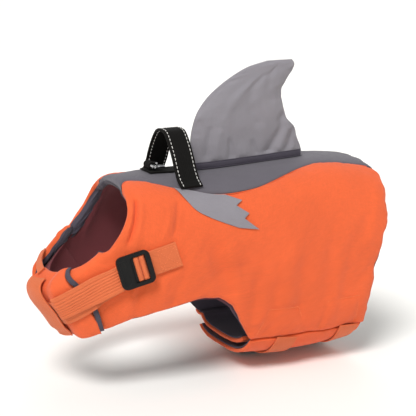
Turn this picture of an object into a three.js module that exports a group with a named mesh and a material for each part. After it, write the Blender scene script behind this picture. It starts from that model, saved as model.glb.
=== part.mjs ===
import * as THREE from "three";

// Dog life jacket in size M, worn form. Lengths in millimetres, +X to the tail, +Y to the far side,
// +Z up. The origin is on the spine, at the back lining, half way along the back.

// Cloth, foam and webbing
const FOAM_OUT = 3; // outer cloth beyond the fitted form
const FOAM_IN = 5; // foam inside the fitted form
const PUFF = 1.5; // swelling in the middle of a foam panel
const PUFF_REACH = 12; // length over which a panel swells from its seam
const GAP = 0.35; // between two pieces, along seams and between layers
const LAYER = 0.7; // between a strap or patch and the panel it lies on
const LINING = 1.2;
const WEB_WIDTH = 25;
const WEB_THICK = 1.8;
const STRAP_GAP = 0.8; // between two layers of webbing
const PATCH_THICK = 1;

// Lengths of the form per unit of u and v, used for distances on it
const U_LENGTH = 300;
const V_LENGTH = 260;
const SEAM_V = 0.0013; // half a seam's gap in v

const COLOURS = {
  orange: 0xf0683a,
  webbing: 0xe0703f,
  backGrey: 0x74727a,
  finGrey: 0x918f94,
  bandGrey: 0x565159,
  lining: 0x3c3541,
  black: 0x171514,
  steel: 0xc9ccd0,
};

// Cross sections of the form from the neck ring (u 0) to the rear hem (u 1): the spine and keel points,
// half the width, how square the top and keel are, the egg shape and the forward bow of the sides
const stations = [
  {
    u: 0.0, spineX: -142, spineZ: 6, keelX: -212, keelZ: -79.5,
    half: 52, top: 2.2, keel: 2.3, egg: -0.06, bow: 21,
  },
  {
    u: 0.05, spineX: -136, spineZ: 7.5, keelX: -226, keelZ: -96.5,
    half: 55, top: 2.3, keel: 2.3, egg: -0.04, bow: 19,
  },
  {
    u: 0.12, spineX: -127, spineZ: 7.5, keelX: -215, keelZ: -118.5,
    half: 59, top: 2.5, keel: 2.3, egg: -0.02, bow: 15,
  },
  {
    u: 0.25, spineX: -104, spineZ: 7, keelX: -190, keelZ: -153.5,
    half: 65, top: 2.8, keel: 2.5, egg: 0.02, bow: 9,
  },
  {
    u: 0.4, spineX: -72, spineZ: 5.5, keelX: -147, keelZ: -178.5,
    half: 70, top: 3.0, keel: 2.8, egg: 0.03, bow: 3,
  },
  {
    u: 0.55, spineX: -32, spineZ: 6, keelX: -82, keelZ: -185.5,
    half: 74, top: 3.1, keel: 3.2, egg: 0.03, bow: 0,
  },
  {
    u: 0.7, spineX: 22, spineZ: 8, keelX: -14, keelZ: -187.5,
    half: 76, top: 3.2, keel: 3.6, egg: 0.03, bow: 0,
  },
  {
    u: 0.85, spineX: 86, spineZ: 10, keelX: 58, keelZ: -191.5,
    half: 77, top: 3.2, keel: 3.6, egg: 0.03, bow: 0,
  },
  {
    u: 1.0, spineX: 148, spineZ: 5.5, keelX: 124, keelZ: -185.5,
    half: 77, top: 2.9, keel: 3.4, egg: 0.03, bow: 0,
  },
];

// Seam between the back panel and a side panel: v on either side of the spine
const backSeam = [
  { u: 0.0, v: 0.205 },
  { u: 0.02, v: 0.15 },
  { u: 0.06, v: 0.108 },
  { u: 0.12, v: 0.1 },
  { u: 0.223, v: 0.138 },
  { u: 0.317, v: 0.175 },
  { u: 0.407, v: 0.198 },
  { u: 0.477, v: 0.218 },
  { u: 0.537, v: 0.227 },
  { u: 0.613, v: 0.225 },
  { u: 0.657, v: 0.217 },
  { u: 0.703, v: 0.198 },
  { u: 0.747, v: 0.175 },
  { u: 0.79, v: 0.15 },
  { u: 0.843, v: 0.13 },
  { u: 0.913, v: 0.138 },
  { u: 0.973, v: 0.152 },
  { u: 1.0, v: 0.17 },
];

// Neck rim and rear rim: how far along the form each one lies, by v
const neckRim = [
  { v: 0.0, u: 0.0 },
  { v: 0.14, u: 0.0 },
  { v: 0.19, u: -0.014 },
  { v: 0.25, u: -0.01 },
  { v: 0.32, u: 0.028 },
  { v: 0.42, u: 0.043 },
  { v: 0.54, u: 0.05 },
  { v: 0.6, u: 0.015 },
  { v: 0.66, u: -0.016 },
  { v: 0.73, u: 0.0 },
  { v: 1.0, u: 0.0 },
];
const rearRim = [
  { v: 0.0, u: 1.0 },
  { v: 0.13, u: 1.0 },
  { v: 0.2, u: 1.006 },
  { v: 0.27, u: 1.016 },
  { v: 0.31, u: 1.006 },
  { v: 0.38, u: 1.016 },
  { v: 0.44, u: 1.006 },
  { v: 0.52, u: 0.998 },
  { v: 0.62, u: 0.996 },
  { v: 0.74, u: 1.002 },
  { v: 1.0, u: 1.0 },
];

// Lower edge of a side panel: under the chest flap, round the leg hole, then the hem
const legEdge = [
  { u: 0.25, v: 0.75 },
  { u: 0.287, v: 0.7 },
  { u: 0.337, v: 0.65 },
  { u: 0.39, v: 0.608 },
  { u: 0.437, v: 0.586 },
  { u: 0.48, v: 0.57 },
  { u: 0.51, v: 0.565 },
  { u: 0.557, v: 0.57 },
  { u: 0.58, v: 0.583 },
  { u: 0.61, v: 0.603 },
  { u: 0.637, v: 0.635 },
  { u: 0.657, v: 0.665 },
  { u: 0.68, v: 0.713 },
  { u: 0.69, v: 0.733 },
  { u: 0.84, v: 0.72 },
  { u: 0.93, v: 0.73 },
  { u: 1.0, v: 0.74 },
];
const UNDER_FLAP = 0.8; // how far round the near panel goes under the flap
const FLAP_SEAM = 0.62; // where the flap is sewn to the far panel

// Free edge of the chest flap on the near side
const flapEdge = [
  { u: 0.0, v: 0.797 },
  { u: 0.013, v: 0.79 },
  { u: 0.043, v: 0.755 },
  { u: 0.067, v: 0.735 },
  { u: 0.12, v: 0.726 },
  { u: 0.173, v: 0.725 },
  { u: 0.203, v: 0.728 },
  { u: 0.25, v: 0.745 },
];
// Upper edge of the flap, by the distance round from the spine on the near side: it has a cut-out
// beside the front centre, closed at the rim by the webbing bridge
const flapRim = [
  { at: 0.7, u: 0.0 },
  { at: 1.035, u: 0.0 },
  { at: 1.05, u: 0.055 },
  { at: 1.14, u: 0.055 },
  { at: 1.155, u: 0.0 },
  { at: 1.27, u: 0.0 },
  { at: 1.34, u: -0.016 },
  { at: 1.4, u: 0.01 },
];
const flapFoot = [
  { v: 0.62, u: 0.372 },
  { v: 0.65, u: 0.337 },
  { v: 0.7, u: 0.287 },
  { v: 0.75, u: 0.248 },
  { v: 0.85, u: 0.22 },
  { v: 1.0, u: 0.206 },
];

// Large soft folds, as lines on the form: side -1 is the near side, depth in millimetres
const folds = [
  { side: -1, u: 0.1, v: 0.27, toU: 0.12, toV: 0.45, width: 6, depth: -1.6 },
  { side: -1, u: 0.13, v: 0.25, toU: 0.16, toV: 0.42, width: 9, depth: 1.0 },
  { side: -1, u: 0.37, v: 0.3, toU: 0.35, toV: 0.37, width: 7, depth: -1.1 },
  { side: -1, u: 0.49, v: 0.38, toU: 0.57, toV: 0.54, width: 10, depth: -1.6 },
  { side: -1, u: 0.45, v: 0.4, toU: 0.5, toV: 0.54, width: 12, depth: 1.3 },
  { side: -1, u: 0.68, v: 0.5, toU: 0.7, toV: 0.68, width: 9, depth: -1.2 },
  { side: -1, u: 0.74, v: 0.47, toU: 0.755, toV: 0.66, width: 10, depth: 1.1 },
  { side: -1, u: 0.81, v: 0.52, toU: 0.82, toV: 0.69, width: 8, depth: -1.3 },
  { side: -1, u: 0.9, v: 0.46, toU: 0.9, toV: 0.69, width: 9, depth: -1.0 },
  { side: 1, u: 0.11, v: 0.28, toU: 0.14, toV: 0.47, width: 8, depth: -1.5 },
  { side: 1, u: 0.4, v: 0.33, toU: 0.46, toV: 0.5, width: 11, depth: -1.4 },
  { side: 1, u: 0.6, v: 0.42, toU: 0.64, toV: 0.58, width: 10, depth: 1.3 },
  { side: 1, u: 0.72, v: 0.5, toU: 0.73, toV: 0.68, width: 9, depth: -1.2 },
  { side: 1, u: 0.86, v: 0.48, toU: 0.85, toV: 0.68, width: 10, depth: -1.3 },
];

const VALLEY = { from: 0.42, to: 0.9, depth: 2.2, width: 15 };

// Rows of the panels along the jacket, closer together at the flap's foot and the hem's corner
const panelRows = [
  { to: 0.062, steps: 2 },
  { to: 0.19, steps: 4 },
  { to: 0.25, steps: 2 },
  { to: 0.34, steps: 3 },
  { to: 0.56, steps: 5 },
  { to: 0.69, steps: 5 },
  { to: 0.94, steps: 6 },
  { to: 1.0, steps: 2 },
];

// Chest flap over the near panel: how thick it is there and where it rises off the form
const FLAP_LAYER = 1;
const FLAP_THICK = 3.6;
const FLAP_FROM = 0.73;
const LIFT_FROM = 0.812;
const LIFT_TO = 0.875;
const flapSteps = [
  { to: 0.08, steps: 3 },
  { to: 0.145, steps: 4 },
  { to: 0.305, steps: 5 },
  { to: 0.32, steps: 1 },
  { to: 0.41, steps: 3 },
  { to: 0.425, steps: 1 },
  { to: 0.6405, steps: 7 },
];
const CUT_REACH = 0.45; // the part of the flap whose rows give way to its cut-out
const FLAP_LINING_GAP = 2.4;
const BINDING_WIDTH = 5;
const BINDING_V = 0.03;
const BRIDGE_WIDTH = 13;

// Centre lines of the webbing at the neck and chest
const anchorLine = [
  { u: 0.38, v: -0.41 },
  { u: 0.33, v: -0.432 },
  { u: 0.287, v: -0.455 },
  { u: 0.245, v: -0.484 },
];
const baseLine = [
  { u: 0.232, v: -0.497 },
  { u: 0.172, v: -0.573 },
  { u: 0.133, v: -0.65 },
  { u: 0.115, v: -0.728 },
  { u: 0.109, v: -0.84 },
  { u: 0.107, v: -0.95 },
  { u: 0.107, v: -1.06 },
  { u: 0.112, v: -1.17 },
  { u: 0.125, v: -1.27 },
  { u: 0.14, v: -1.34 },
];
const strapLine = [
  { u: 0.235, v: -0.493 },
  { u: 0.213, v: -0.51 },
  { u: 0.17, v: -0.568 },
  { u: 0.127, v: -0.645 },
  { u: 0.107, v: -0.728 },
  { u: 0.103, v: -0.83 },
];
const keeperLine = [
  { u: 0.028, v: -0.965 },
  { u: 0.05, v: -0.955 },
  { u: 0.075, v: -0.937 },
  { u: 0.1, v: -0.925 },
  { u: 0.15, v: -0.918 },
  { u: 0.208, v: -0.915 },
];
const bridgeLine = [
  { u: 0.013, v: -1.003 },
  { u: 0.013, v: -1.08 },
  { u: 0.013, v: -1.16 },
  { u: 0.013, v: -1.235 },
];
const SLIDE = {
  u: 0.208,
  v: -0.511,
  toU: 0.287,
  toV: -0.455,
  length: 35,
  width: 34,
  radius: 6,
  thick: 3.6,
  slot: 15.4,
  slotWidth: 26,
  slotShift: 4.6,
  foldShift: 5.7,
  ridge: 2.9,
  ridgeHeight: 2.6,
};

// Side patch: a fin shape from the back seam, its rear edge cut in teeth
const patchRows = [
  { row: 0, frontU: 0.322, frontV: 0.178, rearU: 0.533, rearV: 0.234 },
  { row: 1, frontU: 0.357, frontV: 0.226, rearU: 0.587, rearV: 0.262 },
  { row: 2, frontU: 0.385, frontV: 0.252, rearU: 0.567, rearV: 0.276 },
  { row: 3, frontU: 0.415, frontV: 0.276, rearU: 0.607, rearV: 0.304 },
  { row: 4, frontU: 0.465, frontV: 0.299, rearU: 0.593, rearV: 0.317 },
  { row: 5, frontU: 0.58, frontV: 0.342, rearU: 0.64, rearV: 0.354 },
];

// Fin: its front and rear edges and half its stuffed thickness at each height
const finRows = [
  { z: 10.5, front: -52, rear: 84.5, half: 5.4 },
  { z: 23.5, front: -51.5, rear: 83, half: 5.9 },
  { z: 41.5, front: -51, rear: 75.5, half: 7 },
  { z: 56.5, front: -48, rear: 63.5, half: 7.4 },
  { z: 70.5, front: -42, rear: 58, half: 7.2 },
  { z: 84.5, front: -30.5, rear: 58, half: 6.6 },
  { z: 96.5, front: -15, rear: 62.5, half: 5.6 },
  { z: 106.5, front: 2, rear: 69, half: 4.2 },
  { z: 113.5, front: 18, rear: 73, half: 2.6 },
  { z: 118.5, front: 40, rear: 70, half: 0.8 },
];
const FIN_LIFT = 0.6;
const FIN_BAND = { from: -51, to: 81, height: 7.5, thick: 1.4, clear: 0.6 };

// Handle: the arch above its sewn feet, from the near foot up to the flat middle
const HANDLE = { x: -74, foot: 49, thick: 3, lift: 2.2 };
const handleArch = [
  { y: 33, z: 17.5 },
  { y: 28, z: 27 },
  { y: 20.5, z: 38.5 },
  { y: 13, z: 47.5 },
  { y: 7, z: 51.5 },
];

// Leash ring and its keeper
const KEEPER = { from: -104, to: -62, width: 25, thick: 1.6, roll: 4.4, rollWidth: 22 };
const RING = { x: -98, wire: 1.75, play: 0.1, inside: 26, depth: 27, tilt: 0.1 };

// Belly flaps, straps and buckles
const BELLY = {
  out: 2.2,
  thick: 4.4,
  dip: 11,
  outerEnd: 1.2,
  innerEnd: 0.775,
  frontStrap: 0.78,
  rearStrap: 0.95,
};
const BUCKLE = { at: 1.1, width: 33, socket: 27, plug: 22, thick: 8.5, nearEnd: 0.982, farEnd: 1.195 };

// Tables

// Smooth value of a column between the rows of a table
function smooth(table, key, column, x) {
  let k = 0;
  while (k < table.length - 2 && x > table[k + 1][key]) k++;
  const a = table[k];
  const b = table[k + 1];
  const slope = (i) => {
    const p = table[Math.max(0, i - 1)];
    const q = table[Math.min(table.length - 1, i + 1)];
    return (q[column] - p[column]) / (q[key] - p[key]);
  };
  const h = b[key] - a[key];
  const t = (x - a[key]) / h;
  const t2 = t * t;
  const t3 = t2 * t;
  const from = (2 * t3 - 3 * t2 + 1) * a[column] + (t3 - 2 * t2 + t) * h * slope(k);
  return from + (3 * t2 - 2 * t3) * b[column] + (t3 - t2) * h * slope(k + 1);
}

// Straight value of a column between the rows of a table
function straight(table, key, column, x) {
  let k = 0;
  while (k < table.length - 2 && x > table[k + 1][key]) k++;
  const a = table[k];
  const b = table[k + 1];
  const t = Math.min(1, Math.max(0, (x - a[key]) / (b[key] - a[key])));
  return a[column] + (b[column] - a[column]) * t;
}

const mix = (a, b, t) => a + (b - a) * t;
const ramp = (x) => {
  const t = Math.min(1, Math.max(0, x));
  return t * t * (3 - 2 * t);
};
const spread = (count, from = 0, to = 1) =>
  Array.from({ length: count + 1 }, (_, i) => mix(from, to, i / count));

function rowsFrom(table) {
  const rows = [0];
  for (const { to, steps } of table) {
    rows.push(...spread(steps, rows[rows.length - 1], to).slice(1));
  }
  return rows;
}

// The form

// Distance round from the spine, 0 at the spine and 1 at the keel, for a v that may run past the keel
const round = (v) => {
  const w = Math.abs(v);
  return w > 1 ? 2 - w : w;
};
const sideOf = (v) => (Math.abs(v) > 1 ? -Math.sign(v) : Math.sign(v));

function form(u, v) {
  const s = (column) => smooth(stations, "u", column, u);
  const c = Math.cos(Math.PI * v);
  const n = Math.sin(Math.PI * v);
  const power = s("keel") + (s("top") - s("keel")) * (0.5 + 0.5 * c);
  const r = 1 / Math.pow(Math.pow(Math.abs(c), power) + Math.pow(Math.abs(n), power), 1 / power);
  const h = 0.5 - 0.5 * r * c;
  return new THREE.Vector3(
    mix(s("spineX"), s("keelX"), h) + s("bow") * 4 * h * (1 - h),
    s("half") * r * n * (1 + s("egg") * c),
    mix(s("spineZ"), s("keelZ"), h),
  );
}

function tangents(u, v) {
  const e = 0.002;
  const along = form(u + e, v).sub(form(u - e, v)).divideScalar(2 * e);
  const across = form(u, v + e).sub(form(u, v - e)).divideScalar(2 * e);
  return { along, across };
}

function outward(u, v) {
  const { along, across } = tangents(u, v);
  return new THREE.Vector3().crossVectors(along, across).normalize();
}

function foldDepth(u, v) {
  let depth = 0;
  for (const f of folds) {
    if (f.side !== sideOf(v)) continue;
    const dx = (f.toU - f.u) * U_LENGTH;
    const dy = (f.toV - f.v) * V_LENGTH;
    const px = (u - f.u) * U_LENGTH;
    const py = (round(v) - f.v) * V_LENGTH;
    const length = Math.hypot(dx, dy);
    const t = (px * dx + py * dy) / (length * length);
    const beyond = Math.max(0, -t, t - 1) * length;
    const off = Math.abs(px * dy - py * dx) / length;
    depth += f.depth * Math.exp(-(off * off + beyond * beyond) / (f.width * f.width));
  }
  return depth;
}

// Shallow valley in the padding along the fin's seam
function valley(u, v) {
  const along = ramp((u - VALLEY.from) / 0.08) * ramp((VALLEY.to - u) / 0.08);
  return -VALLEY.depth * along * Math.exp(-((v * V_LENGTH) ** 2) / VALLEY.width ** 2);
}

function place(u, v, offset) {
  return form(u, v).addScaledVector(outward(u, v), offset + foldDepth(u, v) + valley(u, v));
}

// Outer face of the foam panels, which swell away from their seams
function skin(u, v) {
  const w = round(v);
  const seam = smooth(backSeam, "u", "v", Math.min(1, Math.max(0, u)));
  const toSeam = Math.abs(w - seam) * V_LENGTH;
  const toFoot = u < 0.2 ? 60 : Math.max(0, straight(legEdge, "u", "v", u) - w) * V_LENGTH;
  const toRear = Math.max(0, straight(rearRim, "v", "u", w) - u) * U_LENGTH;
  const toNeck = Math.max(0, u - straight(neckRim, "v", "u", w)) * U_LENGTH;
  const rise = (d) => 1 - Math.exp(-d / PUFF_REACH);
  return FOAM_OUT - 0.8 + PUFF * 1.6 * rise(toSeam) * rise(toFoot) * rise(toRear) * rise(toNeck);
}

// Solids

function mesh(name, colour, geometry, look = {}) {
  const material = new THREE.MeshStandardMaterial({
    color: colour,
    roughness: look.roughness ?? 0.85,
    metalness: look.metalness ?? 0,
  });
  const made = new THREE.Mesh(geometry, material);
  made.name = name;
  return made;
}

// Closed solid between two grids of points, its faces turned out
function between(outer, inner) {
  const rows = outer.length;
  const columns = outer[0].length;
  const points = [...outer.flat(), ...inner.flat()];
  const at = (i, j, side) => side * rows * columns + i * columns + j;
  const faces = [];
  const quad = (a, b, c, d) => faces.push([a, b, c], [a, c, d]);
  for (let i = 0; i < rows - 1; i++) {
    for (let j = 0; j < columns - 1; j++) {
      quad(at(i, j, 0), at(i + 1, j, 0), at(i + 1, j + 1, 0), at(i, j + 1, 0));
      faces.push([at(i, j, 1), at(i + 1, j + 1, 1), at(i + 1, j, 1)]);
      faces.push([at(i, j, 1), at(i, j + 1, 1), at(i + 1, j + 1, 1)]);
    }
  }
  for (let i = 0; i < rows - 1; i++) {
    quad(at(i, 0, 0), at(i, 0, 1), at(i + 1, 0, 1), at(i + 1, 0, 0));
    quad(at(i + 1, columns - 1, 0), at(i + 1, columns - 1, 1), at(i, columns - 1, 1), at(i, columns - 1, 0));
  }
  for (let j = 0; j < columns - 1; j++) {
    quad(at(0, j + 1, 0), at(0, j + 1, 1), at(0, j, 1), at(0, j, 0));
    quad(at(rows - 1, j, 0), at(rows - 1, j, 1), at(rows - 1, j + 1, 1), at(rows - 1, j + 1, 0));
  }
  let volume = 0;
  for (const [a, b, c] of faces) {
    volume += points[a].dot(new THREE.Vector3().crossVectors(points[b], points[c]));
  }
  if (volume < 0) faces.forEach((f) => f.reverse());
  const geometry = new THREE.BufferGeometry();
  geometry.setAttribute("position", new THREE.Float32BufferAttribute(points.flatMap((p) => p.toArray()), 3));
  geometry.setIndex(faces.flat());
  geometry.computeVertexNormals();
  return geometry;
}

// Cloth wall: spot gives u and v of a place in the piece, out and inn its offsets from the form
function wall(rows, columns, spot, out, inn) {
  const grid = (offset) =>
    rows.map((s) =>
      columns.map((t) => {
        const [u, v] = spot(s, t);
        return place(u, v, offset(u, v, s, t));
      }),
    );
  return between(grid(out), grid(inn));
}

// Where a place on the panels lies: s from rim to rim, v round the body
const alongJacket = (s, v) => [
  mix(straight(neckRim, "v", "u", round(v)), straight(rearRim, "v", "u", round(v)), s),
  v,
];

// Strip that follows a line on the form, its width measured on the form
function strip(line, width, steps, columns, out, inn) {
  const last = line.length - 1;
  const table = line.map((p, i) => ({ ...p, at: i / last }));
  const spotAt = (t) => [smooth(table, "at", "u", t), smooth(table, "at", "v", t)];
  const grid = (offset) =>
    spread(steps).map((t) => {
      const [u, v] = spotAt(t);
      const [u0, v0] = spotAt(Math.max(0, t - 0.01));
      const [u1, v1] = spotAt(Math.min(1, t + 0.01));
      const { along, across } = tangents(u, v);
      const heading = form(u1, v1).sub(form(u0, v0)).normalize();
      const sideways = new THREE.Vector3().crossVectors(outward(u, v), heading).normalize();
      const aa = along.dot(along);
      const bb = across.dot(across);
      const ab = along.dot(across);
      const sa = sideways.dot(along);
      const sb = sideways.dot(across);
      const det = aa * bb - ab * ab;
      const du = (sa * bb - sb * ab) / det;
      const dv = (sb * aa - sa * ab) / det;
      return spread(columns, -width / 2, width / 2).map((w) =>
        place(u + du * w, v + dv * w, offset(u + du * w, v + dv * w, t)),
      );
    });
  return between(grid(out), grid(inn));
}

// Place and directions of a hard piece that lies on the form, its x along the given heading
function seatOn(u, v, offset, toU, toV) {
  const origin = place(u, v, offset);
  const up = outward(u, v);
  const heading = form(toU, toV).sub(form(u, v));
  heading.addScaledVector(up, -heading.dot(up)).normalize();
  const side = new THREE.Vector3().crossVectors(up, heading);
  return new THREE.Matrix4().makeBasis(heading, side, up).setPosition(origin);
}

function roundedRect(length, width, radius, middle = 0, shape = new THREE.Shape()) {
  const left = middle - length / 2;
  const right = middle + length / 2;
  const y = width / 2;
  shape.moveTo(left + radius, -y);
  shape.lineTo(right - radius, -y);
  shape.absarc(right - radius, -y + radius, radius, -Math.PI / 2, 0, false);
  shape.lineTo(right, y - radius);
  shape.absarc(right - radius, y - radius, radius, 0, Math.PI / 2, false);
  shape.lineTo(left + radius, y);
  shape.absarc(left + radius, y - radius, radius, Math.PI / 2, Math.PI, false);
  shape.lineTo(left, -y + radius);
  shape.absarc(left + radius, -y + radius, radius, Math.PI, Math.PI * 1.5, false);
  return shape;
}

const plate = (shape, thick, curveSegments = 4) =>
  new THREE.ExtrudeGeometry(shape, { depth: thick, bevelEnabled: false, curveSegments });

// Place on the spine for a given X, and the height of the outer cloth there
function spineU(x) {
  let low = 0;
  let high = 1;
  for (let i = 0; i < 40; i++) {
    const mid = (low + high) / 2;
    if (form(mid, 0).x < x) low = mid;
    else high = mid;
  }
  return (low + high) / 2;
}
const spineTop = (x) => place(spineU(x), 0, skin(spineU(x), 0)).z;

const jacket = new THREE.Group();
jacket.name = "dog_life_jacket";

// Back panel
const rows = rowsFrom(panelRows);
const liningRows = rows.filter((s, i) => s > 0.075 && (i % 2 === 0 || s > 0.24));
const seamAt = (s) => smooth(backSeam, "u", "v", s);
const seamGap = (s) => {
  const slope = (seamAt(Math.min(1, s + 0.01)) - seamAt(Math.max(0, s - 0.01))) / 0.02;
  return SEAM_V * Math.hypot(1, slope * 1.6);
};
jacket.add(
  mesh(
    "back_panel",
    COLOURS.backGrey,
    wall(
      rows,
      spread(10, -1, 1),
      (s, t) => alongJacket(s, t * (seamAt(s) - seamGap(s))),
      skin,
      () => -FOAM_IN,
    ),
  ),
);
jacket.add(
  mesh(
    "lining_back",
    COLOURS.lining,
    wall(
      liningRows,
      spread(6, -1, 1),
      (s, t) => alongJacket(s, t * (seamAt(s) - seamGap(s))),
      () => -FOAM_IN - GAP,
      () => -FOAM_IN - GAP - LINING,
    ),
  ),
);

// Side panels: the near one runs on under the chest flap, the far one ends at the flap's seam
function sideFoot(s, side) {
  const leg = straight(legEdge, "u", "v", s);
  if (side > 0) return s < 0.372 ? FLAP_SEAM - SEAM_V : leg;
  return s < 0.25 ? mix(UNDER_FLAP, 0.75, ramp((s - 0.185) / 0.065)) : leg;
}
function sideSpot(side) {
  return (s, t) => alongJacket(s, side * mix(seamAt(s) + seamGap(s), sideFoot(s, side), t));
}
for (const [side, name] of [
  [-1, "left"],
  [1, "right"],
]) {
  jacket.add(
    mesh(`side_${name}`, COLOURS.orange, wall(rows, spread(16), sideSpot(side), skin, () => -FOAM_IN)),
    mesh(
      `lining_${name}`,
      COLOURS.lining,
      wall(
        liningRows,
        spread(8),
        sideSpot(side),
        () => -FOAM_IN - GAP,
        () => -FOAM_IN - GAP - LINING,
      ),
    ),
  );
}

// Facing strip inside the neck opening
jacket.add(
  mesh(
    "neck_facing",
    COLOURS.bandGrey,
    wall(
      spread(2, 0, 0.062),
      spread(36, -UNDER_FLAP, FLAP_SEAM - 0.008),
      alongJacket,
      () => -FOAM_IN - GAP - 0.3,
      () => -FOAM_IN - GAP - 0.3 - LINING,
    ),
  ),
);

// Chest flap: sewn to the far panel, round the front, its free edge over the near panel
const flapSeamAt = 2 - FLAP_SEAM;
const flapLift = (v) => 1 - ramp((Math.abs(v) - LIFT_FROM) / (LIFT_TO - LIFT_FROM));
const flapOut = (u, v) => mix(FOAM_OUT + 0.3, skin(u, v) + FLAP_LAYER + FLAP_THICK, v < 0 ? flapLift(v) : 0);
const flapIn = (u, v) => mix(-FOAM_IN, skin(u, v) + FLAP_LAYER, v < 0 ? flapLift(v) : 0);
const flapColumns = rowsFrom(flapSteps).map((t) => t + FLAP_FROM);
const flapEdgeAt = (u) => straight(flapEdge, "u", "v", u);
function flapSpot(s, at) {
  const share = (at - FLAP_FROM) / (LIFT_TO - FLAP_FROM);
  const seamed = at < LIFT_TO ? mix(flapEdgeAt(s * 0.25), LIFT_TO, share) : at;
  const foot = straight(flapFoot, "v", "u", round(seamed));
  const rim = straight(flapRim, "at", "u", seamed);
  return [s < CUT_REACH ? mix(rim, foot * CUT_REACH, s / CUT_REACH) : foot * s, -seamed];
}
jacket.add(
  mesh("chest_flap", COLOURS.orange, wall(spread(9), flapColumns, flapSpot, flapOut, flapIn)),
  mesh(
    "lining_flap",
    COLOURS.lining,
    wall(
      spread(7, 0.01, 0.99),
      spread(16, LIFT_TO, flapSeamAt - 0.006),
      (s, at) => [s * straight(flapFoot, "v", "u", round(at)), -at],
      () => -FOAM_IN - FLAP_LINING_GAP,
      () => -FOAM_IN - FLAP_LINING_GAP - LINING,
    ),
  ),
);
const edgeLine = spread(8, 0.004, 0.246).map((u) => ({ u, v: -(flapEdgeAt(u) - 0.0155) }));
jacket.add(
  mesh(
    "flap_edge_binding",
    COLOURS.bandGrey,
    strip(
      edgeLine,
      BINDING_WIDTH,
      12,
      1,
      (u, v) => skin(u, v) + FLAP_LAYER + FLAP_THICK - 0.6,
      (u, v) => skin(u, v) + FLAP_LAYER,
    ),
  ),
);

// Top of what lies on the near side: the panel, then the flap past its free edge
function nearTop(u, v) {
  const past = (Math.abs(v) - (flapEdgeAt(u) - BINDING_V)) / 0.03;
  return mix(skin(u, v), flapOut(u, v), v < 0 ? ramp(past + 1) : 0);
}

// Neck strap: a lower layer right round the front, the ribbed strap on it and the sewn anchor
const OVER = WEB_THICK + STRAP_GAP;
const strapOut = (lift) => (u, v) => nearTop(u, v) + 1.4 * LAYER + lift + WEB_THICK;
const strapIn = (lift) => (u, v) => nearTop(u, v) + 1.4 * LAYER + lift;
jacket.add(
  mesh("strap_anchor", COLOURS.webbing, strip(anchorLine, WEB_WIDTH, 6, 2, strapOut(0), strapIn(0))),
  mesh("neck_strap_base", COLOURS.webbing, strip(baseLine, WEB_WIDTH, 30, 2, strapOut(0), strapIn(0))),
  mesh("neck_strap", COLOURS.webbing, strip(strapLine, WEB_WIDTH, 16, 2, strapOut(OVER), strapIn(OVER))),
);

// Upright webbing keeper down the chest, over the neck strap, and the short bridge at the rim
const bridgeFrom = FOAM_OUT + 0.3 + LAYER;
const overStrap = (u) => OVER * (1 - ramp((Math.abs(u - 0.107) - 0.06) / 0.03));
jacket.add(
  mesh(
    "chest_keeper",
    COLOURS.webbing,
    strip(
      keeperLine,
      WEB_WIDTH,
      18,
      3,
      (u, v) => flapOut(u, v) + 1.4 * LAYER + overStrap(u) + WEB_THICK,
      (u, v) => flapOut(u, v) + 1.4 * LAYER + overStrap(u),
    ),
  ),
  mesh(
    "chest_bridge",
    COLOURS.webbing,
    strip(bridgeLine, BRIDGE_WIDTH, 6, 1, () => bridgeFrom + WEB_THICK, () => bridgeFrom),
  ),
);

// Three-bar slide of the neck strap, and the webbing folded round its middle bar
const slideSeat = seatOn(
  SLIDE.u,
  SLIDE.v,
  skin(SLIDE.u, SLIDE.v) + LAYER + 2 * (WEB_THICK + STRAP_GAP),
  SLIDE.toU,
  SLIDE.toV,
);
const slideShape = roundedRect(SLIDE.length, SLIDE.width, SLIDE.radius);
slideShape.holes.push(roundedRect(SLIDE.slot, SLIDE.slotWidth, 1, SLIDE.slotShift, new THREE.Path()));
const slide = plate(slideShape, SLIDE.thick, 5);
slide.applyMatrix4(slideSeat);
const foldShape = new THREE.Shape();
foldShape.moveTo(-2 * SLIDE.ridge, 0);
foldShape.lineTo(2 * SLIDE.ridge, 0);
for (const centre of [SLIDE.ridge, -SLIDE.ridge]) {
  for (const a of spread(6, 0, Math.PI)) {
    foldShape.lineTo(centre + SLIDE.ridge * 0.97 * Math.cos(a), 0.6 + SLIDE.ridgeHeight * Math.sin(a));
  }
}
foldShape.closePath();
const fold = plate(foldShape, WEB_WIDTH);
fold.rotateX(Math.PI / 2);
fold.translate(SLIDE.foldShift, WEB_WIDTH / 2, 0);
fold.applyMatrix4(slideSeat);
jacket.add(
  mesh("strap_slide", COLOURS.black, slide, { roughness: 0.45 }),
  mesh("slide_webbing", COLOURS.webbing, fold),
);

// Grey side patches with a toothed rear edge
function patch(side) {
  const spot = (row, t) => {
    const front = [smooth(patchRows, "row", "frontU", row), smooth(patchRows, "row", "frontV", row)];
    const rear = [straight(patchRows, "row", "rearU", row), straight(patchRows, "row", "rearV", row)];
    const u = mix(front[0], rear[0], t);
    const v = row === 0 ? seamAt(u) + 0.007 : mix(front[1], rear[1], t);
    return [u, side * v];
  };
  const last = patchRows[patchRows.length - 1].row;
  return wall(
    spread(last * 2, 0, last),
    spread(5),
    spot,
    (u, v) => skin(u, v) + LAYER + PATCH_THICK,
    (u, v) => skin(u, v) + LAYER,
  );
}
jacket.add(mesh("patch_left", COLOURS.finGrey, patch(-1)), mesh("patch_right", COLOURS.finGrey, patch(1)));

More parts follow.
